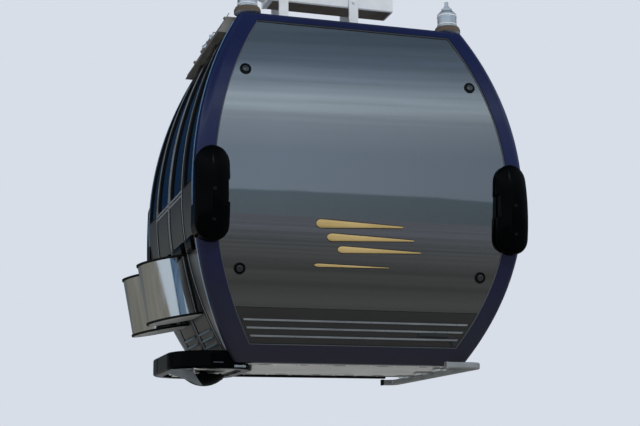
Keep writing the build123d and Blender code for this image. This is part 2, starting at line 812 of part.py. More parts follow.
def bench_cushion():
    half = bench_half_width - cushion_side_margin
    back_y = -bench_back_foot_y + bench_back_board + cushion_back_gap
    block = span_box(-half, half, back_y, -bench_front_y + cushion_front_inset,
                     bench_board_top + seat_gap, bench_board_top + cushion_thickness)
    return fillet(block.edges(), cushion_edge_radius)


def bench_back_pad():
    half = bench_half_width - cushion_side_margin
    lean = (bench_back_top_y - bench_back_foot_y) / (bench_back_top - bench_board_low)

    def board_face(height):
        return -bench_back_foot_y + bench_back_board + seat_gap - lean * (height - bench_board_low)
    outline = Polyline((board_face(back_pad_low), back_pad_low), (board_face(bench_back_top), bench_back_top),
                       (board_face(bench_back_top) + back_pad_thickness, bench_back_top),
                       (board_face(back_pad_low) + back_pad_thickness, back_pad_low), close=True)
    block = extrude(Plane.YZ * make_face(outline), amount=half, both=True)
    return fillet(block.edges(), back_pad_edge_radius)


for end_name, place in (("front", lambda part: part), ("rear", rear_of)):
    cabin[f"bench_frame_{end_name}"] = place(bench_frame())
    cabin[f"bench_cushion_{end_name}"] = place(bench_cushion())
    cabin[f"bench_back_pad_{end_name}"] = place(bench_back_pad())


# Roof gear: arms, spring posts, legs and beam
arm_bottom = shell_height + arm_low
arm_top = arm_bottom + arm_thickness
corners = [(side_x, side_y) for side_x in (-1, 1) for side_y in (-1, 1)]


def roof_arms():
    leg_y = beam_half_depth + seat_gap + leg_thickness / 2
    plate_half_y = leg_y + leg_thickness
    arms = span_box(leg_places[0] - leg_width / 2, leg_places[1] + leg_width / 2, -plate_half_y, plate_half_y,
                    arm_bottom, arm_top)
    for side_x, side_y in corners:
        foot_x = leg_places[0] if side_x < 0 else leg_places[1]
        start = (foot_x, side_y * leg_y)
        end = (side_x * post_x, side_y * post_y)
        run = hypot(end[0] - start[0], end[1] - start[1])
        turn = degrees(atan2(end[1] - start[1], end[0] - start[0]))
        bar = Pos((start[0] + end[0]) / 2, (start[1] + end[1]) / 2, arm_bottom) * Rot(0, 0, turn) * extrude(
            SlotOverall(run + arm_width, arm_width), amount=arm_thickness)
        eye = rod_along("z", arm_bottom, arm_top, end, arm_eye_radius)
        arms += bar + eye
    for side_x, side_y in corners:
        arms -= rod_along("z", arm_bottom - 1, arm_top + 1, (side_x * post_x, side_y * post_y),
                          post_rod_radius + seat_gap)
    return arms


def spring_posts():
    posts = []
    for side_x, side_y in corners:
        place = (side_x * post_x, side_y * post_y)
        base = arm_top + seat_gap
        head = base + post_height
        body = rod_along("z", base, head, place, post_radius)
        rim = body.edges().filter_by_position(Axis.Z, head - 1, head + 1)
        body = chamfer(rim, post_chamfer)
        body += rod_along("z", base, base + post_flange_height, place, post_flange_radius)
        body += rod_along("z", head, head + post_neck_height, place, post_neck_radius)
        nut = Pos(*place, head + post_neck_height) * extrude(RegularPolygon(post_nut_radius, 6),
                                                             amount=post_nut_height)
        rod = rod_along("z", shell_height + seat_gap, head + post_rod_height, place, post_rod_radius)
        posts.append((body + nut + rod).solid())
    return Compound(children=posts)


def suspension_legs():
    legs = []
    for foot_x in leg_places:
        for side_y in (-1, 1):
            near = side_y * (beam_half_depth + seat_gap)
            far_face = side_y * (beam_half_depth + seat_gap + leg_thickness)
            legs.append(span_box(foot_x - leg_width / 2, foot_x + leg_width / 2, min(near, far_face),
                                 max(near, far_face), arm_top + seat_gap, beam_bottom + beam_height))
    return Compound(children=[leg.solid() for leg in legs])


def suspension_beam():
    beam = span_box(beam_low_x, beam_high_x, -beam_half_depth, beam_half_depth,
                    beam_bottom, beam_bottom + beam_height)
    return chamfer(beam.edges().filter_by(Axis.X), beam_chamfer)


cabin["roof_arms"] = roof_arms()
cabin["spring_posts"] = spring_posts()
cabin["suspension_legs"] = suspension_legs()
cabin["suspension_beam"] = suspension_beam()


# Hanger: a swan-necked box tube from the beam out past the rope's sheaves and back to the grip
def hanger_arm():
    foot_z = beam_bottom + beam_height / 2 - rope_to_underside
    slope = radians(hanger_slope)
    start_x = beam_low_x + hanger_root
    low_corner = (hanger_out_x, 0, foot_z + (beam_low_x - hanger_out_x) * sin(slope) / cos(slope))
    start = (start_x, 0, foot_z - (start_x - beam_low_x) * sin(slope) / cos(slope))
    high_corner = (hanger_out_x, 0, -(hanger_eye_x - hanger_out_x) * sin(slope) / cos(slope))
    end = (hanger_eye_x, 0, 0)
    path = FilletPolyline(start, low_corner, high_corner, end, radius=(hanger_low_radius, hanger_high_radius))
    section = Plane(origin=path @ 0, x_dir=(0, 1, 0), z_dir=path % 0) * RectangleRounded(
        hanger_depth, hanger_width, hanger_edge_radius)
    arm = sweep(section, path=path)
    half_way = foot_z / 2
    arm -= span_box(beam_low_x - seat_gap, far, -far, far, -2 * far, half_way)
    plate = span_box(beam_low_x - seat_gap - hanger_foot_plate, beam_low_x - seat_gap, -beam_half_depth,
                     beam_half_depth, foot_z - beam_height / 2, foot_z + beam_height / 2)
    eye_low, eye_high = hanger_eye_x - hanger_eye_width / 2, hanger_eye_x + hanger_eye_width / 2
    arm -= span_box(eye_high, far, -far, far, half_way, far)
    eye = rod_along("x", eye_low, eye_high, (0, 0), hanger_eye_radius)
    bore = rod_along("x", eye_low - hanger_cap_room, eye_high, (0, 0), hanger_pin_radius + pin_clearance)
    cap_room = rod_along("x", eye_low - hanger_cap_room, eye_low, (0, 0), hanger_pin_cap_radius + moving_gap)
    return arm + plate + eye - bore - cap_room


carrier["hanger_arm"] = hanger_arm()


# Grip: fixed body, jaw with its lever, running rollers and lever roller
def half_plane_box(x_low, x_high, half_y):
    return span_box(x_low, x_high, -half_y, half_y, -far, far)


def grip_body():
    lip = rod_along("y", -jaw_half_length, jaw_half_length, (0, 0), rope_radius + jaw_wall)
    lip &= half_plane_box(-far, -jaw_gap / 2, far)
    body = lip + span_box(-grip_left, -jaw_gap / 2, -jaw_half_length, jaw_half_length, -jaw_foot, grip_top)
    body += span_box(-grip_left, -rope_radius - jaw_wall, -jaw_half_length, jaw_half_length,
                     grip_bottom, -jaw_foot)
    body += span_box(-grip_left, grip_right, -grip_half_length, grip_half_length, grip_shoulder, grip_top)
    for side in (-1, 1):
        y_in, y_out = side * (jaw_half_length + moving_gap), side * grip_half_length
        y_low, y_high = min(y_in, y_out), max(y_in, y_out)
        body += span_box(0, jaw_pin_x, y_low, y_high, jaw_pin_height - jaw_eye_radius,
                         jaw_pin_height + jaw_eye_radius)
        body += rod_along("y", y_low, y_high, (jaw_pin_x, jaw_pin_height), jaw_eye_radius)
    body -= rod_along("y", -far, far, (0, 0), rope_radius)
    body -= rod_along("y", -jaw_half_length - moving_gap, jaw_half_length + moving_gap,
                      (jaw_pin_x, jaw_pin_height), spring_coil_radius + spring_wire_radius + moving_gap)
    body += rod_along("y", -grip_half_length, grip_half_length, (jaw_pin_x, jaw_pin_height), jaw_pin_radius)
    pin_end = hanger_eye_x - hanger_eye_width / 2 - moving_gap / 2
    body += rod_along("x", pin_end - hanger_pin_cap, -grip_left, (0, 0), hanger_pin_radius)
    body += rod_along("x", pin_end - hanger_pin_cap, pin_end, (0, 0), hanger_pin_cap_radius)
    rib_low, rib_high = runner_rib_x - runner_rib_thickness / 2, runner_rib_x + runner_rib_thickness / 2
    body += span_box(rib_low, rib_high, -grip_half_length, grip_half_length,
                     grip_top, runner_height + runner_rib_head)
    for side in (-1, 1):
        axle_end = runner_x - runner_width / 2 - moving_gap / 2
        body += rod_along("x", axle_end, rib_high, (side * runner_y, runner_height), runner_axle_radius)
    return body


def movable_jaw():
    lip = rod_along("y", -jaw_half_length, jaw_half_length, (0, 0), rope_radius + jaw_wall)
    jaw = lip & half_plane_box(jaw_gap / 2, far, far)
    jaw += span_box(jaw_gap / 2, jaw_pin_x, -jaw_half_length, jaw_half_length, -jaw_foot, jaw_top)
    jaw += rod_along("y", -jaw_half_length, jaw_half_length, (jaw_pin_x, jaw_pin_height), jaw_eye_radius)
    run = hypot(lever_end_x - jaw_pin_x, lever_end_height - jaw_pin_height)
    turn = degrees(atan2(lever_end_height - jaw_pin_height, lever_end_x - jaw_pin_x))
    middle = Pos((lever_end_x + jaw_pin_x) / 2, (lever_end_height + jaw_pin_height) / 2)
    bar = Plane.XZ * (middle * Rot(0, 0, turn) * SlotOverall(run + 2 * lever_bar, 2 * lever_bar))
    jaw += extrude(bar, amount=lever_half_depth, both=True)
    for place in spring_places:
        for side in (-1, 1):
            coil = Torus(spring_coil_radius, spring_wire_radius)
            jaw += Pos(jaw_pin_x, side * place, jaw_pin_height) * Rot(90, 0, 0) * coil
    jaw -= rod_along("y", -far, far, (0, 0), rope_radius)
    jaw -= rod_along("y", -far, far, (jaw_pin_x, jaw_pin_height), jaw_pin_radius + pin_clearance)
    boss_x = lever_end_x + lever_bar
    jaw += rod_along("x", lever_end_x, boss_x + moving_gap + lever_roller_width + moving_gap / 2,
                     (0, lever_end_height), runner_axle_radius)
    return jaw


def rope_tongues():
    """Tapered blades on the jaw ends that lift the grip smoothly over the rope's rollers"""
    blades = []
    near_x = -(rope_radius + seat_gap)
    for side in (-1, 1):
        root_y = side * (jaw_half_length + seat_gap)
        tip_y = root_y + side * tongue_length
        outline = Polyline((near_x, root_y), (near_x - tongue_root, root_y), (near_x - tongue_tip, tip_y),
                           (near_x, tip_y), close=True)
        blades.append(extrude(make_face(outline), amount=tongue_tall / 2, both=True))
    return Compound(children=[blade.solid() for blade in blades])


def roller(centre, radius, width):
    """Roller about an axis along X, with a bore for its axle and rounded rims"""
    x, y, z = centre
    wheel = rod_along("x", x - width / 2, x + width / 2, (y, z), radius)
    wheel = fillet(wheel.edges().filter_by(GeomType.CIRCLE), roller_edge_radius)
    return wheel - rod_along("x", x - width, x + width, (y, z), runner_axle_radius + pin_clearance)


grip["grip_body"] = grip_body()
grip["movable_jaw"] = movable_jaw()
grip["rope_tongues"] = rope_tongues()
lever_roller_x = lever_end_x + lever_bar + moving_gap + lever_roller_width / 2
grip["lever_roller"] = roller((lever_roller_x, 0, lever_end_height), lever_roller_radius, lever_roller_width)
grip["running_roller_front"] = roller((runner_x, -runner_y, runner_height), runner_radius, runner_width)
grip["running_roller_rear"] = roller((runner_x, runner_y, runner_height), runner_radius, runner_width)

os.makedirs("parts", exist_ok=True)
to_rope = Pos(0, 0, -rope_to_underside)
for name, shape in cabin.items():
    export_step(to_rope * shape, f"parts/{name}.step")
for name, shape in {**carrier, **grip}.items():
    export_step(shape, f"parts/{name}.step")
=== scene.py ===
import json
import bmesh
import bpy
import numpy as np
from mathutils import Matrix, Vector


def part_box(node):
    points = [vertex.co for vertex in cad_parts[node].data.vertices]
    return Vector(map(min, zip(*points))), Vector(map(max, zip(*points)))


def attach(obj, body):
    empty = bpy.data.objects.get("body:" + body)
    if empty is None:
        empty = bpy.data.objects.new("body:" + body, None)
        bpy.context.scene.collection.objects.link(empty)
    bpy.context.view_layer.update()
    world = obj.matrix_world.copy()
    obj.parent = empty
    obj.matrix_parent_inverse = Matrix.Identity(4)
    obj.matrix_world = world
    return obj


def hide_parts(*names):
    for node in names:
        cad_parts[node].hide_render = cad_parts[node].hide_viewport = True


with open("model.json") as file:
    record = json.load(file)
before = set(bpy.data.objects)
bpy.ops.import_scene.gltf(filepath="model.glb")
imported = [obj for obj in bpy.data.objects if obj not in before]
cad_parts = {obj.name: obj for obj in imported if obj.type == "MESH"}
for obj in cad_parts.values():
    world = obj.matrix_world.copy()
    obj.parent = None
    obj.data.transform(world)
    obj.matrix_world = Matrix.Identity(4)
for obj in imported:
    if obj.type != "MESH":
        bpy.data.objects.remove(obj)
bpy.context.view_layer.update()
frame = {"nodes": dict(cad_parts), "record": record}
nodes = frame["nodes"]
print("frame loaded:", len(nodes), "nodes")

# metres throughout; a height is measured from the cabin's underside, like the walls' curves
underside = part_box("front_frame")[0].z
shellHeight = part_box("front_frame")[1].z - underside
sideCurve = {"waist": 1.050, "waistHeight": 1.020, "foot": 0.732, "top": 0.732}
endCurve = {"waist": 0.790, "waistHeight": 1.070, "foot": 0.480, "top": 0.607}


# a wall is two arcs that meet upright at the waist; radius = (reach^2 + rise^2) / (2 x reach)
def arcRadius(curve, height):
    above = height > curve["waistHeight"]
    reach = curve["waist"] - np.where(above, curve["top"], curve["foot"])
    rise = np.where(above, shellHeight - curve["waistHeight"], curve["waistHeight"])
    return (reach**2 + rise**2) / (2 * reach)


# half-width of a wall at a height, moved inwards by inset: a point of the arc, measured from the middle
def halfAt(curve, height, inset=0.0):
    height = np.asarray(height, float)
    radius = arcRadius(curve, height)
    return curve["waist"] - radius + np.sqrt((radius - inset)**2 - (height - curve["waistHeight"])**2)


# outward normal of a wall at a height; facing is the way (x, y) that the wall looks
def curveNormal(curve, facing, height):
    height = np.asarray(height, float)
    up = (height - curve["waistHeight"]) / arcRadius(curve, height)
    level = np.sqrt(1 - up**2)
    return np.stack([facing[0] * level, facing[1] * level, up], -1)


# side walls: side is -1 at the doors and 1 opposite; out is how far off the face, along its normal
def wallNormal(side, height):
    return curveNormal(sideCurve, (side, 0.0), height)


def wallPoint(side, across, height, out=0.0):
    across, height = np.broadcast_arrays(np.asarray(across, float), np.asarray(height, float))
    face = np.stack([side * halfAt(sideCurve, height), across, height + underside], -1)
    return face + out * wallNormal(side, height)


# end walls: end is -1 at the front and 1 at the rear
def endNormal(end, height):
    return curveNormal(endCurve, (0.0, end), height)


def endPoint(end, across, height, out=0.0):
    across, height = np.broadcast_arrays(np.asarray(across, float), np.asarray(height, float))
    face = np.stack([across, end * halfAt(endCurve, height), height + underside], -1)
    return face + out * endNormal(end, height)


# mesh helpers
def addMesh(name, points, faces, smooth=True):
    mesh = bpy.data.meshes.new(name)
    mesh.from_pydata(np.asarray(points).reshape(-1, 3).tolist(), [], faces)
    mesh.validate()
    mesh.polygons.foreach_set("use_smooth", [smooth] * len(mesh.polygons))
    piece = bpy.data.objects.new(name, mesh)
    bpy.context.scene.collection.objects.link(piece)
    return piece


# a surface on a grid of two parameters: grid[i, j] is a point, and either way round may close on itself
def gridPiece(name, grid, wrapU=False, wrapV=False, smooth=True):
    countU, countV = grid.shape[:2]
    stepsU = np.arange(countU if wrapU else countU - 1)
    stepsV = np.arange(countV if wrapV else countV - 1)
    u, v = (part.ravel() for part in np.meshgrid(stepsU, stepsV, indexing="ij"))
    nextU, nextV = (u + 1) % countU, (v + 1) % countV
    corners = (u * countV + v, nextU * countV + v, nextU * countV + nextV, u * countV + nextV)
    return addMesh(name, grid, np.stack(corners, 1).tolist(), smooth)


# a closed section carried along a path: each ring is path + section x sideways + section y upwards
def sweptPiece(name, path, section, upward, closed=False, smooth=True):
    path, section = np.asarray(path, float), np.asarray(section, float)
    if closed:
        along = np.roll(path, -1, 0) - np.roll(path, 1, 0)
    else:
        along = np.gradient(path, axis=0)
    along /= np.linalg.norm(along, axis=1, keepdims=True)
    upward = np.broadcast_to(np.asarray(upward, float), path.shape)
    upward = upward - along * np.sum(upward * along, 1, keepdims=True)
    upward /= np.linalg.norm(upward, axis=1, keepdims=True)
    sideways = np.cross(along, upward)
    rings = path[:, None] + section[None, :, :1] * sideways[:, None] + section[None, :, 1:] * upward[:, None]
    piece = gridPiece(name, rings, wrapU=closed, wrapV=True, smooth=smooth)
    if not closed:
        capEnds(piece, len(path), len(section))
    return outward(piece)


def capEnds(piece, ringCount, ringSize):
    mesh = bmesh.new()
    mesh.from_mesh(piece.data)
    mesh.verts.ensure_lookup_table()
    for first in (0, (ringCount - 1) * ringSize):
        mesh.faces.new([mesh.verts[first + step] for step in range(ringSize)])
    mesh.to_mesh(piece.data)
    mesh.free()


# doubles merged and every face turned outwards
def outward(piece):
    mesh = bmesh.new()
    mesh.from_mesh(piece.data)
    bmesh.ops.remove_doubles(mesh, verts=mesh.verts, dist=1e-6)
    bmesh.ops.recalc_face_normals(mesh, faces=mesh.faces)
    mesh.to_mesh(piece.data)
    mesh.free()
    return piece


def joined(name, parts):
    points, faces, start = [], [], 0
    for part in parts:
        mesh = part.data
        points.append(pointsOf(part))
        faces += [[vertex + start for vertex in face.vertices] for face in mesh.polygons]
        start += len(mesh.vertices)
        smooth = mesh.polygons[0].use_smooth
        bpy.data.objects.remove(part)
    return addMesh(name, np.concatenate(points), faces, smooth)


def pointsOf(piece):
    values = np.empty(len(piece.data.vertices) * 3)
    piece.data.vertices.foreach_get("co", values)
    return values.reshape(-1, 3)


def setPoints(piece, points):
    piece.data.vertices.foreach_set("co", points.ravel())
    piece.data.update()


def sharpen(piece, angle=35):
    piece.data.set_sharp_from_angle(angle=np.radians(angle))
    return piece


def circle(radius, count):
    turn = np.linspace(0, 2 * np.pi, count, endpoint=False)
    return np.stack([radius * np.cos(turn), radius * np.sin(turn)], 1)


def rectangle(width, low, high):
    half = width / 2
    return np.array([(-half, low), (half, low), (half, high), (-half, high)])


# a strip's section: a rectangle standing on y = low, with its upper corners cut
def stripSection(width, low, high, cut=0.0012):
    half = width / 2
    return np.array([(-half, low), (half, low), (half, high - cut), (half - cut, high), (cut - half, high),
                     (-half, high - cut)])


# a bar along the door side's wall at one height, between two places along the wall
def wallBar(name, low, high, height, section, steps, out=0.0):
    return sweptPiece(name, wallPoint(-1, np.linspace(low, high, steps), height, out), section,
                      wallNormal(-1, height))


# flat plate: an outline of corners swept a little way along a direction
def flatPlate(name, corners, thickness, direction):
    outline = np.asarray(corners, float)
    count = len(outline)
    points = np.concatenate([outline, outline + np.asarray(direction, float) * thickness])
    sides = [[step, (step + 1) % count, (step + 1) % count + count, step + count] for step in range(count)]
    faces = [list(range(count))[::-1], list(range(count, 2 * count))] + sides
    return outward(addMesh(name, points, faces, smooth=False))


# a profile of (radius, height) points turned about an axis through each place; it rises along the axis
def turnedPieces(name, profile, places, axes, count, smooth=True):
    profile = np.asarray(profile, float)
    turn = np.linspace(0, 2 * np.pi, count, endpoint=False)
    parts = []
    for place, axis in zip(places, axes):
        axis = np.asarray(axis, float) / np.linalg.norm(axis)
        helper = np.array([0, 0, 1.0]) if abs(axis[2]) < 0.9 else np.array([1.0, 0, 0])
        first = np.cross(helper, axis)
        first /= np.linalg.norm(first)
        second = np.cross(axis, first)
        spoke = np.cos(turn)[:, None] * first + np.sin(turn)[:, None] * second
        grid = np.asarray(place) + profile[:, None, :1] * spoke[None] + profile[:, None, 1:] * axis
        parts.append(outward(gridPiece(name + "Part", grid, wrapV=True, smooth=smooth)))
    return sharpen(joined(name, parts))


# camera: it stands just above the floor and looks up; heading is from +Y towards +X; degrees, metres and mm
camera = {"place": (-2.51, -7.82, -5.301), "heading": 17.48, "rise": 11.57, "roll": -0.56, "lens": 71.7,
          "sensor": 36.0}


def setCamera():
    heading, rise, roll = (np.radians(camera[angle]) for angle in ("heading", "rise", "roll"))
    ahead = Vector((np.sin(heading) * np.cos(rise), np.cos(heading) * np.cos(rise), np.sin(rise)))
    level = Vector((np.cos(heading), -np.sin(heading), 0))
    upright = level.cross(ahead)
    right = level * np.cos(roll) + upright * np.sin(roll)
    up = upright * np.cos(roll) - level * np.sin(roll)
    lens = bpy.data.cameras.new("photoCamera")
    lens.lens = camera["lens"]
    lens.sensor_width = camera["sensor"]
    viewer = bpy.data.objects.new("photoCamera", lens)
    turn = Matrix((right, up, -ahead)).transposed().to_4x4()
    viewer.matrix_world = Matrix.Translation(camera["place"]) @ turn
    bpy.context.scene.collection.objects.link(viewer)
    bpy.context.scene.camera = viewer


# stage: a pale floor just below the camera, seen from above only, and the plain light round the object
stage = {
    "floorBelowCamera": 0.06, "floorHalf": 60.0, "floorTone": (0.62, 0.63, 0.64), "floorPaler": 1.06,
    # painted reflection: a glowing ground that only gloss sees on the floor, in long streaks: its tones near
    # the cabin and far off, and where those lie
    "nearPaintedReflection": (0.165, 0.172, 0.165), "farPaintedReflection": (0.285, 0.31, 0.355),
    "nearReach": 6.3, "farReach": 15.3,
    "reflectionStreaks": (0.05, 1.6, 1.0), "streakLeast": 0.8, "streakMost": 1.15,
    # the painted reflection of the ground to the left of the cabin is warmer, as the racks show
    "leftPaintedReflection": (0.24, 0.235, 0.205), "leftFrom": -1.5, "leftTo": -6.0,
    "backdrop": (0.68, 0.73, 0.81), "daylight": (0.93, 0.96, 1.0), "daylightStrength": 0.75,
}
# what gloss and glass see: in each band, the sine of the height above the horizon and the tone there
sky = {
    "behind": ((0.0, (0.27, 0.34, 0.39)), (0.115, (0.27, 0.36, 0.42)), (0.13, (0.5, 0.62, 0.76)),
               (0.34, (0.5, 0.62, 0.77)), (0.46, (0.64, 0.76, 0.9)), (0.54, (0.99, 1.18, 1.33)),
               (0.62, (0.56, 0.7, 0.86)), (0.69, (0.3, 0.4, 0.53)), (0.76, (0.2, 0.28, 0.37))),
    "ahead": ((0.0, (0.16, 0.17, 0.17)), (0.12, (0.12, 0.14, 0.15)), (0.22, (0.012, 0.03, 0.06)),
              (1.0, (0.006, 0.02, 0.045))),
    # gain lets a band be brighter than white
    "gain": 1.35,
    # where the tones change from those behind the camera to those ahead of it
    "aheadFrom": 0.1, "aheadTo": 0.6,
    # shade that grows to the right of the camera, and the low sun
    "shadeFrom": 0.26, "shadeTo": 0.44, "shadeLeast": 0.78,
    "sunWay": (0.12, -0.80, 0.575), "sunNear": 0.9988, "sunFull": 0.9998, "sunStrength": 14.0,
    # long flat clouds in the upper sky
    "cloudScale": (2.0, 2.0, 26.0), "cloudFrom": 0.4, "cloudTo": 0.5, "cloudLeast": 0.88, "cloudMost": 1.12,
    # uneven skyline: its sway fades out between the two heights
    "skylineScale": 4.0, "skylineFlat": (1, 1, 0.3), "skylineSway": 0.05, "skylineLow": 0.15,
    "skylineHigh": 0.3,
    # hills to the left of the camera end between these heights
    "hillLow": 0.16, "hillHigh": 0.24,
    # gap in the hills, where the pale sky comes down to the ground
    "gapFrom": 0.11, "gapTo": 0.03, "gapTone": (0.46, 0.533, 0.593),
    # blue hillside beside the gap, which makes the blue strip down each rack
    "blueFrom": 0.09, "blueTo": 0.2, "blueSoft": 0.01, "blueTone": (0.03, 0.08, 0.15),
}
# lamps: place, what each looks at, width and height, watts, colour
lamps = {
    "keyLamp": ((1.7, -7.2, 1.5), (0.0, 0.0, -3.6), 0.9, 0.9, 230.0, (1.0, 0.98, 0.95)),
    "fillLamp": ((-7.5, 1.5, 0.5), (0.0, 0.0, -3.6), 3.0, 5.0, 150.0, (0.9, 0.95, 1.0)),
    "backLamp": ((3.0, 7.5, 1.5), (0.0, 0.0, -3.0), 5.0, 3.0, 240.0, (0.95, 0.97, 1.0)),
}


def setStage():
    level = camera["place"][2] - stage["floorBelowCamera"]
    half = stage["floorHalf"]
    corners = np.array([(-half, -half), (half, -half), (half, half), (-half, half)])
    floor = addMesh("studioFloor", np.insert(corners, 2, level, 1), [[0, 1, 2, 3]], smooth=False)
    material, tree, shader, place = startMaterial("paleFloor")
    paler = tuple(channel * stage["floorPaler"] for channel in stage["floorTone"])
    tone = spread(tree, noiseOf(tree, place, 0.6, 4.0))
    setInputs(shader, {"Base Color": mixedColour(tree, tone, stage["floorTone"], paler), "Roughness": 0.9})
    reach = addNode(tree, "VectorMath", {0: place}, operation="LENGTH").outputs["Value"]
    far = rangeOf(tree, reach, stage["nearReach"], stage["farReach"])
    dark = mixedColour(tree, far, stage["nearPaintedReflection"], stage["farPaintedReflection"])
    across = addNode(tree, "SeparateXYZ", {"Vector": place}).outputs["X"]
    dark = mixedColour(tree, rangeOf(tree, across, stage["leftFrom"], stage["leftTo"]), dark,
                       stage["leftPaintedReflection"])
    streaks = noiseOf(tree, stretched(tree, place, stage["reflectionStreaks"]), 1.0, 5.0)
    shade = rangeOf(tree, streaks, 0.35, 0.65, stage["streakLeast"], stage["streakMost"])
    # painted reflection: gloss sees the floor glow with this darker streaked ground instead of its pale
    # colour
    ground = addNode(tree, "Emission", {"Color": dark, "Strength": shade}).outputs[0]
    glossy = addNode(tree, "LightPath").outputs["Is Glossy Ray"]
    seen = addNode(tree, "MixShader", {0: glossy, 1: shader.outputs[0], 2: ground}).outputs[0]
    under = addNode(tree, "NewGeometry").outputs["Backfacing"]
    clear = addNode(tree, "BsdfTransparent").outputs[0]
    oneSided = addNode(tree, "MixShader", {0: under, 1: seen, 2: clear}).outputs[0]
    setInputs(tree.nodes["Material Output"], {"Surface": oneSided})
    floor.data.materials.append(material)


def skyRamp(tree, rise, bands):
    ramp = addNode(tree, "ValToRGB", {"Fac": rise})
    stops = ramp.color_ramp.elements
    for index, (height, tone) in enumerate(bands):
        stop = stops[index] if index < 2 else stops.new(height)
        stop.position = height
        stop.color = (*(channel / sky["gain"] for channel in tone), 1.0)
    return ramp.outputs["Color"]


def setSky():
    world = bpy.data.worlds.new("studioSky")
    bpy.context.scene.world = world
    world.use_nodes = True
    tree = world.node_tree
    away = addNode(tree, "TexCoord").outputs["Generated"]
    across, forward, height = addNode(tree, "SeparateXYZ", {"Vector": away}).outputs
    # the skyline sways a little near the ground
    sway = noiseOf(tree, stretched(tree, away, sky["skylineFlat"]), sky["skylineScale"], 4.0)
    sway = spread(tree, sway, -sky["skylineSway"] / 2, sky["skylineSway"] / 2)
    low = rangeOf(tree, height, sky["skylineLow"], sky["skylineHigh"], 1.0, 0.0)
    uneven = combined(tree, height, sway, "ADD")
    rise = addNode(tree, "Mix", {"Factor": low, "A": height, "B": uneven}).outputs["Result"]
    behind = skyRamp(tree, rise, sky["behind"])
    # gap and blue hillside, up to the hills' height
    hills = rangeOf(tree, height, sky["hillLow"], sky["hillHigh"], 1.0, 0.0)
    gap = combined(tree, rangeOf(tree, across, sky["gapFrom"], sky["gapTo"]), hills)
    behind = mixedColour(tree, gap, behind, sky["gapTone"])
    soft = sky["blueSoft"]
    blueStart = rangeOf(tree, across, sky["blueFrom"] - soft, sky["blueFrom"] + soft)
    blueEnd = rangeOf(tree, across, sky["blueTo"] - soft, sky["blueTo"] + soft, 1.0, 0.0)
    blue = combined(tree, combined(tree, blueStart, blueEnd), hills)
    behind = mixedColour(tree, blue, behind, sky["blueTone"])
    turned = rangeOf(tree, forward, sky["aheadFrom"], sky["aheadTo"])
    around = mixedColour(tree, turned, behind, skyRamp(tree, height, sky["ahead"]))
    # strength: shade to the right, times the clouds, plus the sun's glow
    gain = sky["gain"]
    shaded = rangeOf(tree, across, sky["shadeFrom"], sky["shadeTo"], gain, gain * sky["shadeLeast"])
    sunWay = Vector(sky["sunWay"]).normalized()
    towards = addNode(tree, "VectorMath", {0: away, 1: sunWay}, operation="DOT_PRODUCT").outputs["Value"]
    glow = rangeOf(tree, towards, sky["sunNear"], sky["sunFull"], 0.0, sky["sunStrength"])
    cloud = noiseOf(tree, stretched(tree, away, sky["cloudScale"]), 1.5, 4.0, 0.55)
    cloud = rangeOf(tree, cloud, 0.35, 0.65, sky["cloudLeast"], sky["cloudMost"])
    high = rangeOf(tree, height, sky["cloudFrom"], sky["cloudTo"])
    cloud = addNode(tree, "Mix", {"Factor": high, "A": 1.0, "B": cloud}).outputs["Result"]
    strength = combined(tree, combined(tree, shaded, cloud), glow, "ADD")
    # surfaces get plain daylight, gloss and glass get the graded sky, and the camera gets the backdrop
    path = addNode(tree, "LightPath").outputs
    mirrored = combined(tree, path["Is Glossy Ray"], path["Is Transmission Ray"], "MAXIMUM")
    plain = tree.nodes["Background"]
    setInputs(plain, {"Color": (*stage["daylight"], 1.0), "Strength": stage["daylightStrength"]})
    graded = addNode(tree, "Background", {"Color": around, "Strength": strength}).outputs[0]
    backdrop = addNode(tree, "Background", {"Color": (*stage["backdrop"], 1.0)}).outputs[0]
    withGloss = addNode(tree, "MixShader", {0: mirrored, 1: plain.outputs[0], 2: graded}).outputs[0]
    withView = addNode(tree, "MixShader", {0: path["Is Camera Ray"], 1: withGloss, 2: backdrop}).outputs[0]
    setInputs(tree.nodes["World Output"], {"Surface": withView})


def setLamps():
    for name, (place, target, width, height, watts, colour) in lamps.items():
        light = bpy.data.lights.new(name, "AREA")
        light.shape = "RECTANGLE"
        light.size, light.size_y = width, height
        light.energy, light.color = watts, colour
        lamp = bpy.data.objects.new(name, light)
        aim = (Vector(target) - Vector(place)).to_track_quat("-Z", "Y")
        lamp.matrix_world = Matrix.Translation(place) @ aim.to_matrix().to_4x4()
        lamp.visible_glossy = False
        lamp.visible_transmission = False
        bpy.context.scene.collection.objects.link(lamp)


# materials: Object coordinates drive every pattern
def startMaterial(name):
    material = bpy.data.materials.new(name)
    material.use_nodes = True
    tree = material.node_tree
    return material, tree, tree.nodes["Principled BSDF"], addNode(tree, "TexCoord").outputs["Object"]


# a socket is linked to its input, and anything else becomes the input's own value
def setInputs(node, inputs):
    for key, value in inputs.items():
        if isinstance(value, bpy.types.NodeSocket):
            node.id_data.links.new(value, node.inputs[key])
        else:
            node.inputs[key].default_value = value


def addNode(tree, kind, inputs=(), **settings):
    node = tree.nodes.new("ShaderNode" + kind)
    for key, value in settings.items():
        setattr(node, key, value)
    setInputs(node, dict(inputs))
    return node


def combined(tree, first, second, operation="MULTIPLY"):
    return addNode(tree, "Math", {0: first, 1: second}, operation=operation).outputs[0]


def stretched(tree, place, scale):
    return addNode(tree, "Mapping", {"Vector": place, "Scale": scale}).outputs["Vector"]


def noiseOf(tree, place, scale, detail, roughness=0.5):
    return addNode(tree, "TexNoise", {"Vector": place, "Scale": scale, "Detail": detail,
                                      "Roughness": roughness}).outputs["Fac"]


def rangeOf(tree, value, low, high, toLow=0.0, toHigh=1.0):
    return addNode(tree, "MapRange", {"Value": value, "From Min": low, "From Max": high,
                                      "To Min": toLow, "To Max": toHigh}, clamp=True).outputs["Result"]


# nearly all of a noise lies between 0.3 and 0.7, so that stretch of it goes from least to most
def spread(tree, noise, least=0.0, most=1.0):
    return rangeOf(tree, noise, 0.3, 0.7, least, most)


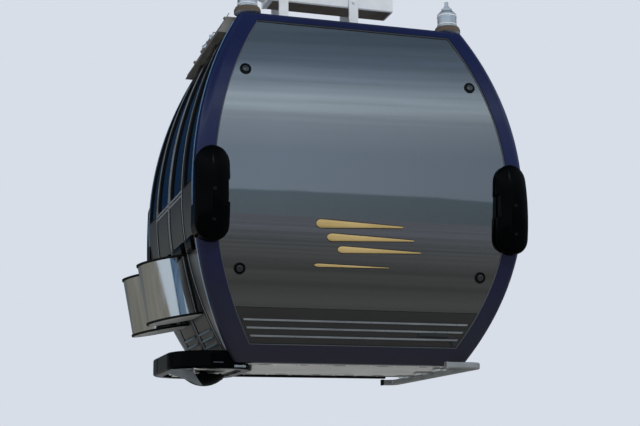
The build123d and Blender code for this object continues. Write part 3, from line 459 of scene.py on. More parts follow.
# the Mix node's colour inputs are its seventh and eighth, and its colour output is the third
def mixedColour(tree, factor, first, second):
    first, second = (tone if isinstance(tone, bpy.types.NodeSocket) else (*tone, 1.0)
                     for tone in (first, second))
    return addNode(tree, "Mix", {0: factor, 6: first, 7: second}, data_type="RGBA").outputs[2]


def bumpOf(tree, height, strength, distance):
    bump = addNode(tree, "Bump", {"Height": height, "Strength": strength, "Distance": distance})
    return bump.outputs["Normal"]


# colour that varies between two tones, roughness that varies, and a fine bump, which suits most finishes
def plainFinish(name, tones, rough, look=(), grain=(1, 1, 1), toneScale=3.0, bumpScale=400.0, bump=0.1,
                depth=0.0004):
    material, tree, shader, place = startMaterial(name)
    grained = stretched(tree, place, grain)
    tone = spread(tree, noiseOf(tree, grained, toneScale, 5.0))
    wear = spread(tree, noiseOf(tree, grained, toneScale * 4, 4.0), *rough)
    fine = bumpOf(tree, noiseOf(tree, grained, bumpScale, 2.0), bump, depth)
    setInputs(shader, {"Base Color": mixedColour(tree, tone, *tones), "Roughness": wear, "Normal": fine,
                       **dict(look)})
    return material


# glossy paint that turns to a second, rougher tone from reach above the cabin's foot down to it, in runs from
# least to most
def paintFinish(name, tones, footTone, look, reach, least, most):
    material, tree, shader, place = startMaterial(name)
    paint = mixedColour(tree, rangeOf(tree, noiseOf(tree, place, 1.4, 4.0), 0.35, 0.65), *tones)
    height = addNode(tree, "SeparateXYZ", {"Vector": place}).outputs["Z"]
    low = rangeOf(tree, height, underside, underside + reach, 1.0, 0.0)
    runs = noiseOf(tree, stretched(tree, place, (1, 1, 0.35)), 9.0, 8.0, 0.62)
    amount = combined(tree, low, rangeOf(tree, runs, 0.3, 0.75, least, most))
    fine = bumpOf(tree, noiseOf(tree, place, 130.0, 1.0), 0.04, 0.0005)
    setInputs(shader, {"Base Color": mixedColour(tree, amount, paint, footTone),
                       "Roughness": rangeOf(tree, amount, 0.0, 0.5, 0.3, 0.62), "Normal": fine, **look})
    return material


# glass with faint upright streaks in its gloss, and a tint that deepens in places
def glassFinish(name, tint, look):
    material, tree, shader, place = startMaterial(name)
    streaks = noiseOf(tree, stretched(tree, place, (1, 1, 0.25)), 6.0, 6.0, 0.6)
    shade = rangeOf(tree, noiseOf(tree, place, 1.1, 3.0), 0.35, 0.65)
    deeper = tuple(channel * 0.86 for channel in tint)
    setInputs(shader, {"Base Color": mixedColour(tree, shade, tint, deeper),
                       "Roughness": rangeOf(tree, streaks, 0.45, 0.8, 0.015, 0.07), **look})
    return material


# leather: small cells for the grain, with the hollows a little darker
def leatherFinish(name, tones, hollowTone=(0.008, 0.008, 0.01)):
    material, tree, shader, place = startMaterial(name)
    cells = addNode(tree, "TexVoronoi", {"Vector": place, "Scale": 420.0}, feature="DISTANCE_TO_EDGE")
    crease = rangeOf(tree, cells.outputs["Distance"], 0.0, 0.12)
    hide = mixedColour(tree, spread(tree, noiseOf(tree, place, 5.0, 5.0)), *tones)
    hollow = rangeOf(tree, crease, 0.0, 1.0, 0.35, 0.0)
    setInputs(shader, {"Base Color": mixedColour(tree, hollow, hide, hollowTone),
                       "Roughness": spread(tree, noiseOf(tree, place, 22.0, 4.0), 0.38, 0.56),
                       "Normal": bumpOf(tree, crease, 0.25, 0.0006)})
    return material


# floor covering with round studs on a square pitch, a little paler on top
def studFinish(name, tones, pitch=0.032, studTone=(0.12, 0.12, 0.12)):
    material, tree, shader, place = startMaterial(name)
    flat = stretched(tree, place, (1, 1, 0.0))
    cells = addNode(tree, "TexVoronoi", {"Vector": flat, "Scale": 1 / pitch, "Randomness": 0.0})
    stud = rangeOf(tree, cells.outputs["Distance"], 0.26, 0.34, 1.0, 0.0)
    ground = mixedColour(tree, spread(tree, noiseOf(tree, place, 6.0, 6.0)), *tones)
    paler = rangeOf(tree, stud, 0.0, 1.0, 0.0, 0.3)
    setInputs(shader, {"Base Color": mixedColour(tree, paler, ground, studTone), "Roughness": 0.6,
                       "Normal": bumpOf(tree, stud, 0.6, 0.0015)})
    return material


bpy.context.scene.view_settings.view_transform = "Standard"
setCamera()
setStage()
setSky()
setLamps()
print("camera, stage and lamps set")


# one finish for each of the frame's material slots
finishes = {
    # on the navy paint the foot tone is painted reflection: a neutral dark grey that stands for the dark
    # ground mirrored low on the frame
    "blue_paint": paintFinish("navyPaint", ((0.0025, 0.0045, 0.034), (0.0035, 0.0065, 0.046)),
                              (0.027, 0.024, 0.029),
                              {"Coat Weight": 0.55, "Coat Roughness": 0.03, "Coat IOR": 1.5,
                               "Coat Tint": (0.6, 0.75, 1.0, 1.0), "Specular IOR Level": 0.12},
                              reach=0.85, least=0.9, most=1.0),
    "tinted_glass": glassFinish("tintedGlass", (0.085, 0.11, 0.14),
                                {"Transmission Weight": 1.0, "IOR": 2.7, "Coat Weight": 1.0,
                                 "Coat Roughness": 0.02}),
    "black_plastic": plainFinish("glossBlack", ((0.0003, 0.0005, 0.0007), (0.0008, 0.001, 0.0012)),
                                 (0.08, 0.16), {"Specular IOR Level": 0.035}, bump=0.04),
    "grey_panel": paintFinish("greyPaint", ((0.03, 0.03, 0.027), (0.045, 0.044, 0.04)), (0.3, 0.29, 0.26),
                              {"Coat Weight": 0.12, "Coat Roughness": 0.12, "Specular IOR Level": 0.3},
                              reach=0.5, least=0.3, most=0.95),
    "aluminium": plainFinish("anodisedAluminium", ((0.46, 0.49, 0.52), (0.56, 0.59, 0.62)), (0.24, 0.38),
                             {"Metallic": 0.8}, grain=(1, 1, 14), toneScale=6.0, bumpScale=90.0, bump=0.06),
    "polished_steel": plainFinish("polishedSheet", ((0.56, 0.57, 0.58), (0.66, 0.67, 0.69)), (0.05, 0.12),
                                  {"Metallic": 1.0}, grain=(1, 1, 0.08), toneScale=9.0, bumpScale=5.0,
                                  bump=0.04, depth=0.003),
    "galvanised_steel": plainFinish("paleSteel", ((0.64, 0.67, 0.7), (0.74, 0.77, 0.8)), (0.34, 0.55),
                                    {"Metallic": 0.1}, toneScale=8.0, bumpScale=160.0, bump=0.12),
    "rubber": plainFinish("sealRubber", ((0.003, 0.003, 0.0032), (0.007, 0.007, 0.0075)), (0.5, 0.72),
                          {"Specular IOR Level": 0.2}, bumpScale=700.0, bump=0.2),
    "floor_rubber": studFinish("floorCovering", ((0.035, 0.036, 0.038), (0.055, 0.056, 0.06))),
    "underbody": plainFinish("undersidePanel", ((0.5, 0.49, 0.46), (0.6, 0.59, 0.555)), (0.45, 0.65),
                             toneScale=4.0, bumpScale=220.0, bump=0.15),
    "bench_leather": leatherFinish("benchLeather", ((0.022, 0.025, 0.032), (0.036, 0.04, 0.05))),
    "grip_casting": plainFinish("castGrip", ((0.2, 0.21, 0.22), (0.31, 0.32, 0.33)), (0.42, 0.66),
                                {"Metallic": 0.7}, toneScale=14.0, bumpScale=240.0, bump=0.35,
                                depth=0.0008),
    "roller_plastic": plainFinish("rollerPlastic", ((0.02, 0.02, 0.02), (0.035, 0.034, 0.033)),
                                  (0.38, 0.58), toneScale=20.0, bumpScale=600.0, bump=0.15),
}

# finishes of some nodes and of the pieces added below
headerFinish = plainFinish("headerMetal", ((0.15, 0.14, 0.125), (0.23, 0.215, 0.195)), (0.35, 0.5),
                           {"Metallic": 0.4}, toneScale=7.0, bumpScale=160.0, bump=0.15)
railFinish = plainFinish("railSteel", ((0.3, 0.31, 0.31), (0.4, 0.41, 0.41)), (0.3, 0.45), {"Metallic": 0.6},
                         toneScale=9.0, bumpScale=160.0, bump=0.1)
kickFinish = plainFinish("kickPanel", ((0.006, 0.006, 0.006), (0.011, 0.011, 0.011)), (0.03, 0.09),
                         {"Coat Weight": 1.0, "Coat IOR": 1.68, "Coat Roughness": 0.03}, toneScale=2.0,
                         bump=0.02)
stripFinish = plainFinish("paleStrip", ((0.2, 0.22, 0.24), (0.28, 0.3, 0.32)), (0.25, 0.4), {"Metallic": 0.3},
                          toneScale=8.0, bumpScale=200.0, bump=0.05)
plateFinish = plainFinish("hoopPlate", ((0.5, 0.5, 0.47), (0.62, 0.62, 0.58)), (0.3, 0.5), toneScale=6.0,
                          bumpScale=120.0, bump=0.1)
trimFinish = paintFinish("trimPaint", ((0.1, 0.24, 0.42), (0.14, 0.3, 0.5)), (0.3, 0.31, 0.31),
                         {"Coat Weight": 0.5, "Coat Roughness": 0.1}, reach=1.4, least=0.7, most=1.0)
# the side windows' blue Specular Tint is painted reflection: it puts sky blue into their reflections
sideGlass = glassFinish("sideGlass", (0.05, 0.11, 0.19),
                        {"Transmission Weight": 1.0, "IOR": 2.4, "Coat Weight": 1.0, "Coat Roughness": 0.02,
                         "Coat Tint": (0.35, 0.7, 1.0, 1.0), "Specular Tint": (0.45, 0.75, 1.0, 1.0)})
capFinish = plainFinish("buttonCap", ((0.05, 0.055, 0.06), (0.08, 0.085, 0.09)), (0.18, 0.3),
                        {"Metallic": 0.8}, bumpScale=300.0, bump=0.05)
# the pane seals' grey, paler than black rubber, is partly a painted highlight along the pane's edge
sealEdgeHighlightFinish = plainFinish("paneSeal", ((0.05, 0.056, 0.062), (0.075, 0.083, 0.09)), (0.4, 0.6),
                         bumpScale=500.0, bump=0.1)
# the louvre lips' pale blue is a painted highlight
louvreHighlightFinish = plainFinish("louvreLip", ((0.16, 0.3, 0.4), (0.22, 0.38, 0.5)), (0.3, 0.45), {"Metallic": 0.3},
                        bumpScale=300.0, bump=0.05)
brownRubber = plainFinish("brownWasher", ((0.07, 0.05, 0.032), (0.11, 0.082, 0.055)), (0.5, 0.7),
                          bumpScale=300.0)
dashFinish = plainFinish("hoopDash", ((0.045, 0.045, 0.06), (0.06, 0.06, 0.08)), (0.4, 0.5), bumpScale=300.0,
                         bump=0.05)
guardFinish = plainFinish("guardPlate", ((0.1, 0.11, 0.115), (0.15, 0.16, 0.165)), (0.3, 0.5),
                          {"Metallic": 0.3}, toneScale=9.0, bumpScale=160.0, bump=0.1)
goldFoil = plainFinish("goldFoil", ((0.5, 0.35, 0.13), (0.62, 0.45, 0.19)), (0.3, 0.42), {"Metallic": 0.25},
                       toneScale=5.0, bumpScale=300.0, bump=0.05)
darkFoil = plainFinish("darkFoil", ((0.003, 0.004, 0.008), (0.006, 0.007, 0.012)), (0.3, 0.42),
                       {"Specular IOR Level": 0.3}, bumpScale=300.0, bump=0.05)
nodeFinishes = {
    "door_window_front": sideGlass, "door_window_rear": sideGlass, "front_corner_window": sideGlass,
    "rear_corner_window": sideGlass, "front_trim": trimFinish, "rear_trim": trimFinish,
    "front_kick_panel": kickFinish, "rear_kick_panel": kickFinish, "front_kick_strips": stripFinish,
    "rear_kick_strips": stripFinish, "hoop_plate": plateFinish, "door_header": headerFinish,
    "guide_rail": railFinish,
}
for part in frame["record"]["subparts"]:
    materials = nodes[part["node"]].data.materials
    materials.clear()
    materials.append(nodeFinishes.get(part["node"], finishes[part["material_slot"]]))
print("materials set on the frame")


def dress(piece, slot, body="carrier", material=None):
    piece.data.materials.clear()
    piece.data.materials.append(material or finishes[slot])
    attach(piece, body)
    return piece


# seals round the end panes
seal = {"bead": 0.0062, "flatness": 0.7, "foot": 0.1015, "belowTop": 0.0595, "inset": 0.1165,
        "setback": 0.011, "steps": 40}


# outline of an end pane: up one side's curve, along the top, down the other side and back along the foot
def paneOutline(end):
    rise = np.linspace(seal["foot"], shellHeight - seal["belowTop"], seal["steps"])
    reach = halfAt(sideCurve, rise, seal["inset"])
    face = end * halfAt(endCurve, rise, seal["setback"])
    share = np.linspace(-1, 1, seal["steps"])[1:-1]
    left = np.stack([-reach, face, rise], 1)
    over, under = (np.stack([way * share * reach[row], np.full_like(share, face[row]),
                             np.full_like(share, rise[row])], 1) for way, row in ((1, -1), (-1, 0)))
    path = np.concatenate([left, over, left[::-1] * (-1, 1, 1), under])
    return path + (0, 0, underside)


for endName, end in (("front", -1), ("rear", 1)):
    section = circle(seal["bead"], count=8) * (1, seal["flatness"])
    bead = sweptPiece(endName + "PaneSeal", paneOutline(end), section, (0, end, 0), closed=True)
    dress(bead, "rubber", material=sealEdgeHighlightFinish)
print("pane seals made")


# door opening and its two leaves, from one place along the wall to another
doorway = {"half": 0.437, "sealWidth": 0.014, "foot": 0.076, "head": shellHeight - 0.154}
leafHigh = doorway["half"] - doorway["sealWidth"]
leafLow = doorway["sealWidth"] / 2
leaves = {"Front": (-leafHigh, -leafLow), "Rear": (leafLow, leafHigh)}

# gaskets of the side windows: a strip that fills the groove over the glass, round a rounded outline
gasket = {"sill": 1.040, "head": shellHeight - 0.219, "groove": 0.012, "width": 0.0112, "low": -0.0095,
          "high": 0.0012, "doorCorner": 0.045, "wallCorner": 0.012, "steps": 30, "cornerSteps": 8}
# how far a window lies inside its leaf, the doorway's edge, or the band of frame, trim and seam at an end
windowMargin = {"door": 0.052, "corner": 0.034, "side": 0.046, "endBand": 0.0577 + 0.0117 + 0.0003}


# the two kinds of upright window edge: straight, or along an end wall's curve
def straightEdge(across):
    return lambda height: np.full_like(height, across)


def curvedEdge(end, margin):
    return lambda height: end * halfAt(endCurve, height, windowMargin["endBand"] + margin)


# outline: quarter circles at the corners, joined by the two edges, all moved outwards by half the groove
def windowGasket(name, side, lowEdge, highEdge, corner):
    grow = gasket["groove"] / 2
    sill, head = gasket["sill"] - grow, gasket["head"] + grow
    corner = corner + grow
    arcs = []
    for edge, way, middle, first in ((highEdge, 1, sill + corner, -90), (highEdge, 1, head - corner, 0),
                                     (lowEdge, -1, head - corner, 90), (lowEdge, -1, sill + corner, 180)):
        turn = np.radians(np.linspace(first, first + 90, gasket["cornerSteps"]))
        centre = edge(middle) + way * (grow - corner)
        arcs.append(np.stack([centre + corner * np.cos(turn), middle + corner * np.sin(turn)], 1))
    rise = np.linspace(sill + corner, head - corner, gasket["steps"])[1:-1]
    up = np.stack([highEdge(rise) + grow, rise], 1)
    down = np.stack([lowEdge(rise) - grow, rise], 1)[::-1]
    across, height = np.concatenate([arcs[0], up, arcs[1], arcs[2], down, arcs[3]]).T
    section = stripSection(gasket["width"], gasket["low"], gasket["high"])
    strip = sweptPiece(name, wallPoint(side, across, height), section, wallNormal(side, height), closed=True)
    dress(sharpen(strip), "rubber")


for leafName, (low, high) in leaves.items():
    windowGasket("doorGasket" + leafName, -1, straightEdge(low + windowMargin["door"]),
                 straightEdge(high - windowMargin["door"]), gasket["doorCorner"])
pillar = doorway["half"] + windowMargin["corner"]
windowGasket("cornerGasketFront", -1, curvedEdge(-1, windowMargin["corner"]), straightEdge(-pillar),
             gasket["wallCorner"])
windowGasket("cornerGasketRear", -1, straightEdge(pillar), curvedEdge(1, windowMargin["corner"]),
             gasket["wallCorner"])
windowGasket("fixedSideGasket", 1, curvedEdge(-1, windowMargin["side"]), curvedEdge(1, windowMargin["side"]),
             gasket["wallCorner"])
print("window gaskets made")


# strips on the leaves: pale ones at each upright edge with a black one beside it, partly rubber seal and
# partly painted shadow, and a pair of sill bars
strips = {"width": 0.014, "proud": 0.003, "root": -0.001, "steps": 50, "edgeGap": 0.0005, "footGap": 0.002,
          "headGap": 0.036, "sillHeights": (1.000, 1.026), "sillWidth": 0.012, "sillProud": 0.004,
          "sillSteps": 6, "darkWidth": 0.026, "darkProud": 0.002, "darkGap": 0.001, "darkBelowSill": 0.008}


# a strip up the wall's curve
def uprightStrip(across, low, high, width, proud):
    rise = np.linspace(low, high, strips["steps"])
    section = stripSection(width, strips["root"], proud)
    return sweptPiece("stripPart", wallPoint(-1, across, rise), section, wallNormal(-1, rise))


foot, head = doorway["foot"] + strips["footGap"], doorway["head"] - strips["headGap"]
darkHead = strips["sillHeights"][0] - strips["darkBelowSill"]
sillSection = stripSection(strips["sillWidth"], strips["root"], strips["sillProud"])
for leafName, (low, high) in leaves.items():
    inset = strips["width"] / 2 + strips["edgeGap"]
    parts = [uprightStrip(across, foot, head, strips["width"], strips["proud"])
             for across in (low + inset, high - inset)]
    parts += [wallBar("stripPart", low + strips["width"], high - strips["width"], height, sillSection,
                      strips["sillSteps"]) for height in strips["sillHeights"]]
    dress(joined("doorStrips" + leafName, parts), "aluminium", material=stripFinish)
    # black strips beside the pale ones: partly the door's rubber seal, partly painted shadow at the leaves'
    # edges
    inset = strips["width"] + strips["darkGap"] + strips["darkWidth"] / 2
    parts = [uprightStrip(across, foot, darkHead, strips["darkWidth"], strips["darkProud"])
             for across in (low + inset, high - inset)]
    dress(joined("doorSealShadowStrips" + leafName, parts), "rubber")
print("door strips made")


# racks: rubber trim round both rims of each, and a mesh of crossed bars under its floor
rack = {"outer": 1.205, "bottom": 0.240, "length": 0.365, "lean": np.radians(11.0), "depth": 0.375,
        "width": 0.350, "corner": 0.170, "cornerSteps": 30, "wallClear": 0.003,
        "trimOut": 0.001, "trimWidth": 0.012, "trimOver": 0.003, "trimTall": 0.010,
        "meshPitch": 0.016, "meshWidth": 0.005, "meshTall": 0.003, "meshBelow": 0.0026, "meshInset": 0.008,
        # bars are looked for over this reach and span, and one with too few samples is left out
        "meshReach": 0.30, "meshSpan": 0.35, "meshSamples": 1401, "meshLeast": 20}
# middle along the wall, and how much further out and lower than the front rack each one sits
racks = {"Front": (-(doorway["half"] - doorway["sealWidth"] / 2) / 2, 0.0, 0.0),
         "Rear": ((doorway["half"] - doorway["sealWidth"] / 2) / 2, 0.020, 0.025)}
rackUp = np.array([-np.sin(rack["lean"]), 0.0, np.cos(rack["lean"])])
rackIn = np.array([np.cos(rack["lean"]), 0.0, np.sin(rack["lean"])])


# a point given by a rack's own axes: inwards, along the rope and up its length
def rackPoint(place, inwards, along, up):
    middle, furtherOut, lower = place
    foot = np.array([-rack["outer"] - furtherOut, middle, rack["bottom"] - lower + underside])
    inwards, along, up = (np.asarray(part, float)[..., None]
                          for part in np.broadcast_arrays(inwards, along, up))
    return foot + inwards * rackIn + along * np.array([0, 1.0, 0]) + up * rackUp


def clearOfWall(points):
    return -points[..., 0] - halfAt(sideCurve, points[..., 2] - underside) > rack["wallClear"]


# rounded rectangle of a rack's plan, as (inwards, along): two quarter circles, and the same mirrored
def rackOutline():
    near, back = rack["corner"], rack["depth"] - rack["corner"]
    corner = rack["corner"] + rack["trimOut"]
    straight = rack["width"] / 2 + rack["trimOut"] - corner
    turn = np.radians(np.linspace(0, 90, rack["cornerSteps"]))
    inwards, along = corner * np.cos(turn), corner * np.sin(turn) + straight
    half = np.concatenate([np.stack([near - inwards, along], 1),
                           np.stack([back + inwards[::-1], along[::-1]], 1)])
    return np.concatenate([half[::-1] * (1, -1), half])


# inside the rounded rectangle: no further past a corner's centre than the corner's radius
def insideRack(inwards, along):
    corner = rack["corner"]
    beyond = np.stack([np.abs(inwards - rack["depth"] / 2) - (rack["depth"] / 2 - corner),
                       np.abs(along) - (rack["width"] / 2 - corner)])
    return np.hypot(*np.maximum(beyond, 0)) < corner - rack["meshInset"]


def rackTrim(name, place):
    over, tall = rack["trimOver"], rack["trimTall"]
    parts = []
    for up, low, high in ((0.0, -over, tall), (rack["length"], -tall, over)):
        path = rackPoint(place, *rackOutline().T, up)
        section = rectangle(rack["trimWidth"], low, high)
        parts.append(sweptPiece("trimPart", path[clearOfWall(path)], section, rackUp))
    dress(joined(name, parts), "rubber")


# bars at half a right angle both ways, each from its first free sample to its last
def rackMesh(name, place):
    section = rectangle(rack["meshWidth"], -rack["meshTall"] / 2, rack["meshTall"] / 2)
    step = np.linspace(-rack["meshSpan"], rack["meshSpan"], rack["meshSamples"])
    bars = []
    for lean in (1.0, -1.0):
        for offset in np.arange(-rack["meshReach"], rack["meshReach"], rack["meshPitch"]):
            inwards = rack["depth"] / 2 + (offset + step) * np.sqrt(0.5)
            along = lean * (step - offset) * np.sqrt(0.5)
            points = rackPoint(place, inwards, along, -rack["meshBelow"])
            free = points[insideRack(inwards, along) & clearOfWall(points)]
            if len(free) >= rack["meshLeast"]:
                bars.append(sweptPiece("barPart", free[[0, -1]], section, rackUp, smooth=False))
    dress(joined(name, bars), "aluminium", material=finishes["underbody"])


for rackName, place in racks.items():
    rackTrim("rackTrim" + rackName, place)
    rackMesh("rackMesh" + rackName, place)

# black bar over each rack, partly a mounting bar and partly painted shadow of the buffer, with a pad of the
# same height on the corner wall beside it, a black sheet of painted shadow only
rackBar = {"height": 0.680, "tall": 0.085, "root": -0.001, "proud": 0.016, "cut": 0.006, "steps": 6,
           "leafInset": 0.045, "shadowPadLow": 0.452, "shadowPadHigh": 0.640}
section = stripSection(rackBar["tall"], rackBar["root"], rackBar["proud"], rackBar["cut"])
reaches = [(low + rackBar["leafInset"], high - rackBar["leafInset"]) for low, high in leaves.values()]
# the pads on the corner walls are painted shadow: black sheets where the buffer's shadow falls
reaches += [(-rackBar["shadowPadHigh"], -rackBar["shadowPadLow"]), (rackBar["shadowPadLow"], rackBar["shadowPadHigh"])]
bars = [wallBar("barPart", low, high, rackBar["height"], section, rackBar["steps"]) for low, high in reaches]
dress(joined("rackBarsShadowPads", bars), "black_plastic")
print("rack trims and meshes made")


# lip along the foot of each louvre, its pale blue a painted highlight, and a black catch at its end
louvre = {"heights": (0.130, 0.170, 0.210), "tall": 0.026, "proud": 0.012, "margin": 0.064, "root": -0.001,
          "lipUp": 0.004, "lipTall": 0.010, "lipProud": 0.0015, "lipSteps": 5, "catchDrop": 0.004,
          "catchFrom": -0.002, "catchTo": 0.020, "catchTall": 0.022, "catchProud": 0.010, "catchCut": 0.004,
          "catchSteps": 3}
lipSection = stripSection(louvre["lipTall"], louvre["root"], louvre["lipProud"])
catchSection = stripSection(louvre["catchTall"], louvre["root"], louvre["catchProud"], louvre["catchCut"])
lips, catches = [], []
for low, high in leaves.values():
    low, high = low + louvre["margin"], high - louvre["margin"]
    for height in louvre["heights"]:
        level = height - louvre["tall"] / 2 + louvre["lipUp"]
        lips.append(wallBar("lipPart", low, high, level, lipSection, louvre["lipSteps"],
                            louvre["proud"] + louvre["root"]))
        catches.append(wallBar("catchPart", high + louvre["catchFrom"], high + louvre["catchTo"],
                               height - louvre["catchDrop"], catchSection, louvre["catchSteps"]))
dress(joined("louvreHighlightLips", lips), "aluminium", material=louvreHighlightFinish)
dress(joined("louvreCatches", catches), "rubber")
print("louvre lips made")


# round fixings: a washer, a six-sided head with cut corners and a shallow cup, as shares of radius and height
def boltProfile(radius, tall):
    head = radius * 0.72
    return [(0.0, -0.002), (radius, -0.002), (radius, tall * 0.22), (head, tall * 0.22), (head, tall * 0.86),
            (head * 0.9, tall), (head * 0.42, tall), (head * 0.36, tall * 0.7), (0.0, tall * 0.7)]


def bolts(name, places, axis, radius, tall, slot="galvanised_steel", count=6, material=None):
    profile = boltProfile(radius, tall)
    piece = turnedPieces(name, profile, places, [axis] * len(places), count=count, smooth=False)
    dress(piece, slot, material=material)


# buttons of the end panes: a black ring round each, and a domed cap with a cup; places are (inset, height)
paneButtons = {"places": ((0.074, 1.738), (0.098, 0.520)), "frameBand": 0.115, "face": -0.0075, "count": 32,
               "ring": ((0.0335, -0.004), (0.0352, 0.0), (0.0335, 0.003), (0.0305, 0.0035), (0.0285, 0.0015),
                        (0.0285, -0.004)),
               "cap": ((0.022, -0.002), (0.0205, 0.0018), (0.015, 0.0036), (0.0065, 0.0042), (0.006, 0.003),
                       (0.0, 0.003))}
places, axes = [], []
for end in (-1, 1):
    for inset, height in paneButtons["places"]:
        reach = float(halfAt(sideCurve, height, paneButtons["frameBand"])) - inset
        for side in (-1, 1):
            places.append(endPoint(end, side * reach, height, paneButtons["face"]))
            axes.append(endNormal(end, height))
rings = turnedPieces("paneButtonRings", paneButtons["ring"], places, axes, paneButtons["count"])
dress(rings, "rubber")
caps = turnedPieces("paneButtonCaps", paneButtons["cap"], places, axes, paneButtons["count"])
dress(caps, "polished_steel", material=capFinish)

# screws sunk in the buffers' faces, which bow along their height
buffers = {"across": 0.946, "heights": (0.780, 0.955), "face": 0.864, "bow": 1.0, "middle": 0.9425,
           "screw": ((0.0105, -0.003), (0.0105, -0.001), (0.0095, 0.0008), (0.0045, 0.0008), (0.004, -0.001),
                     (0.0, -0.001))}
places, axes = [], []
for end in (-1, 1):
    for side in (-1, 1):
        for height in buffers["heights"]:
            drop = buffers["bow"] - np.sqrt(buffers["bow"]**2 - (height - buffers["middle"])**2)
            places.append((side * buffers["across"], end * (buffers["face"] - drop), height + underside))
            axes.append((0, end, 0))
dress(turnedPieces("bufferScrews", buffers["screw"], places, axes, count=20), "rubber")
print("buttons and screws made")


# roof gear: bolts on the arms and through the legs, washers, collars and bands at the posts, a plate below
roofGear = {"armTop": shellHeight + 0.032, "postX": 0.672, "postY": 0.520, "legX": (-0.318, 0.172),
            "legOut": 0.1056, "armFootY": 0.098, "beamFoot": shellHeight + 0.292,
            # bolts of an arm: near its post, by distance from it, and at its foot, by offset from the leg
            "postBolts": (0.115, 0.17), "footBolts": (-0.018, 0.018), "footBoltY": 0.055,
            "legBolts": (0.035, 0.075, 0.115)}
armTop = roofGear["armTop"] + underside
places = []
for signX in (-1, 1):
    for signY in (-1, 1):
        foot = np.array([roofGear["legX"][0] if signX < 0 else roofGear["legX"][1],
                         signY * roofGear["armFootY"]])
        post = np.array([signX * roofGear["postX"], signY * roofGear["postY"]])
        along = (post - foot) / np.linalg.norm(post - foot)
        places += [(*(post - along * distance), armTop) for distance in roofGear["postBolts"]]
        places += [(foot[0] + offset, signY * roofGear["footBoltY"], armTop)
                   for offset in roofGear["footBolts"]]
bolts("armBolts", places, (0, 0, 1), radius=0.013, tall=0.010)
places = [(legX, signY * roofGear["legOut"], roofGear["beamFoot"] + height + underside)
          for legX in roofGear["legX"] for signY in (-1, 1) for height in roofGear["legBolts"]]
axes = [(0, np.sign(y), 0) for x, y, z in places]
profile = boltProfile(radius=0.015, tall=0.011)
legBolts = turnedPieces("legBolts", profile, places, axes, count=6, smooth=False)
dress(legBolts, "galvanised_steel")

# rings round each post: (radius, height) round the section; the grooves read as the coils' cover
postRings = {"washer": [(0.0655, -0.001), (0.0785, -0.001), (0.0785, 0.0125), (0.0655, 0.0135)],
             "collar": [(0.0818, -0.0205), (0.0838, -0.0205), (0.0838, 0.0005), (0.0800, 0.0015)],
             "band": [(0.0615, 0.0), (0.0650, 0.002), (0.0650, 0.008), (0.0615, 0.010)],
             "bandHeights": (0.030, 0.088)}
posts = [(signX * roofGear["postX"], signY * roofGear["postY"], armTop)
         for signX in (-1, 1) for signY in (-1, 1)]
bandPlaces = [(x, y, z + level) for level in postRings["bandHeights"] for x, y, z in posts]
for name, ring, places, count, slot, material in (
        ("postWashers", "washer", posts, 40, "rubber", brownRubber),
        ("eyeCollars", "collar", posts, 48, "rubber", brownRubber),
        ("postBands", "band", bandPlaces, 40, "galvanised_steel", None)):
    closedRing = postRings[ring] + postRings[ring][:1]
    piece = turnedPieces(name, closedRing, places, [(0, 0, 1)] * len(places), count)
    dress(piece, slot, material=material)

# dark brown plate let into the underside of the beam
beamPlate = {"low": -0.386, "high": 0.446, "half": 0.076, "thick": 0.003, "sunk": 0.0005, "steps": 12}
section = rectangle(2 * beamPlate["half"], -beamPlate["thick"], beamPlate["sunk"])
level = roofGear["beamFoot"] + underside
path = np.linspace((beamPlate["low"], 0, level), (beamPlate["high"], 0, level), beamPlate["steps"])
plate = sharpen(sweptPiece("beamPlate", path, section, (0, 0, 1)))
dress(plate, "rubber", material=brownRubber)
print("roof gear made")


# door drive: curled catches and bolts along the header's top edge, lips on both edges, a cover plate below
header = {"out": 0.050, "high": shellHeight - 0.012, "low": shellHeight - 0.114, "half": 0.505,
          "hookPlaces": (-0.075, 0.300), "hookSunk": 0.004, "hookStem": (-0.012, -0.004), "wire": 0.003,
          "curl": 0.010, "curlUp": 0.016, "curlFrom": -0.5 * np.pi, "curlTo": 1.25 * np.pi, "curlSteps": 22,
          "boltPlaces": (-0.45, -0.02, 0.03, 0.16, 0.22, 0.45), "boltDrop": 0.022, "boltRadius": 0.014,
          "lipInset": 0.006, "lipTall": 0.010, "lipRoot": -0.002, "lipProud": 0.003, "lipSteps": 12,
          "coverFrom": 0.002, "coverThick": 0.002}
turn = np.linspace(header["curlFrom"], header["curlTo"], header["curlSteps"])
curl = np.stack([header["curl"] * np.cos(turn), np.zeros_like(turn),
                 header["curl"] * np.sin(turn) + header["curlUp"]], 1)
hookLine = np.concatenate([[(0, 0, height) for height in header["hookStem"]], curl])
hooks = []
for across in header["hookPlaces"]:
    centre = wallPoint(-1, across, header["high"] - header["hookSunk"], header["out"] - header["hookSunk"])
    hooks.append(sweptPiece("hookPart", centre + hookLine, circle(header["wire"], count=8), (0, 1, 0)))
dress(joined("headerHooks", hooks), "galvanised_steel", material=headerFinish)
places = [wallPoint(-1, across, header["high"] - header["boltDrop"], header["out"])
          for across in header["boltPlaces"]]
bolts("headerBolts", places, wallNormal(-1, header["high"]), radius=header["boltRadius"], tall=0.014,
      material=headerFinish)
section = stripSection(header["lipTall"], header["lipRoot"], header["lipProud"])
for name, level in (("headerFootLip", header["low"] + header["lipInset"]),
                    ("headerHeadLip", header["high"] - header["lipInset"])):
    lip = wallBar(name, -header["half"], header["half"], level, section, header["lipSteps"], header["out"])
    dress(sharpen(lip), "aluminium", material=headerFinish)
near, far = (-float(halfAt(sideCurve, header["low"], -out)) for out in (header["coverFrom"], header["out"]))
level = header["low"] + underside
corners = [(near, -header["half"], level), (near, header["half"], level), (far, header["half"], level),
           (far, -header["half"], level)]
dress(flatPlate("headerCover", corners, header["coverThick"], (0, 0, -1)), "aluminium", material=headerFinish)
print("door drive fittings made")


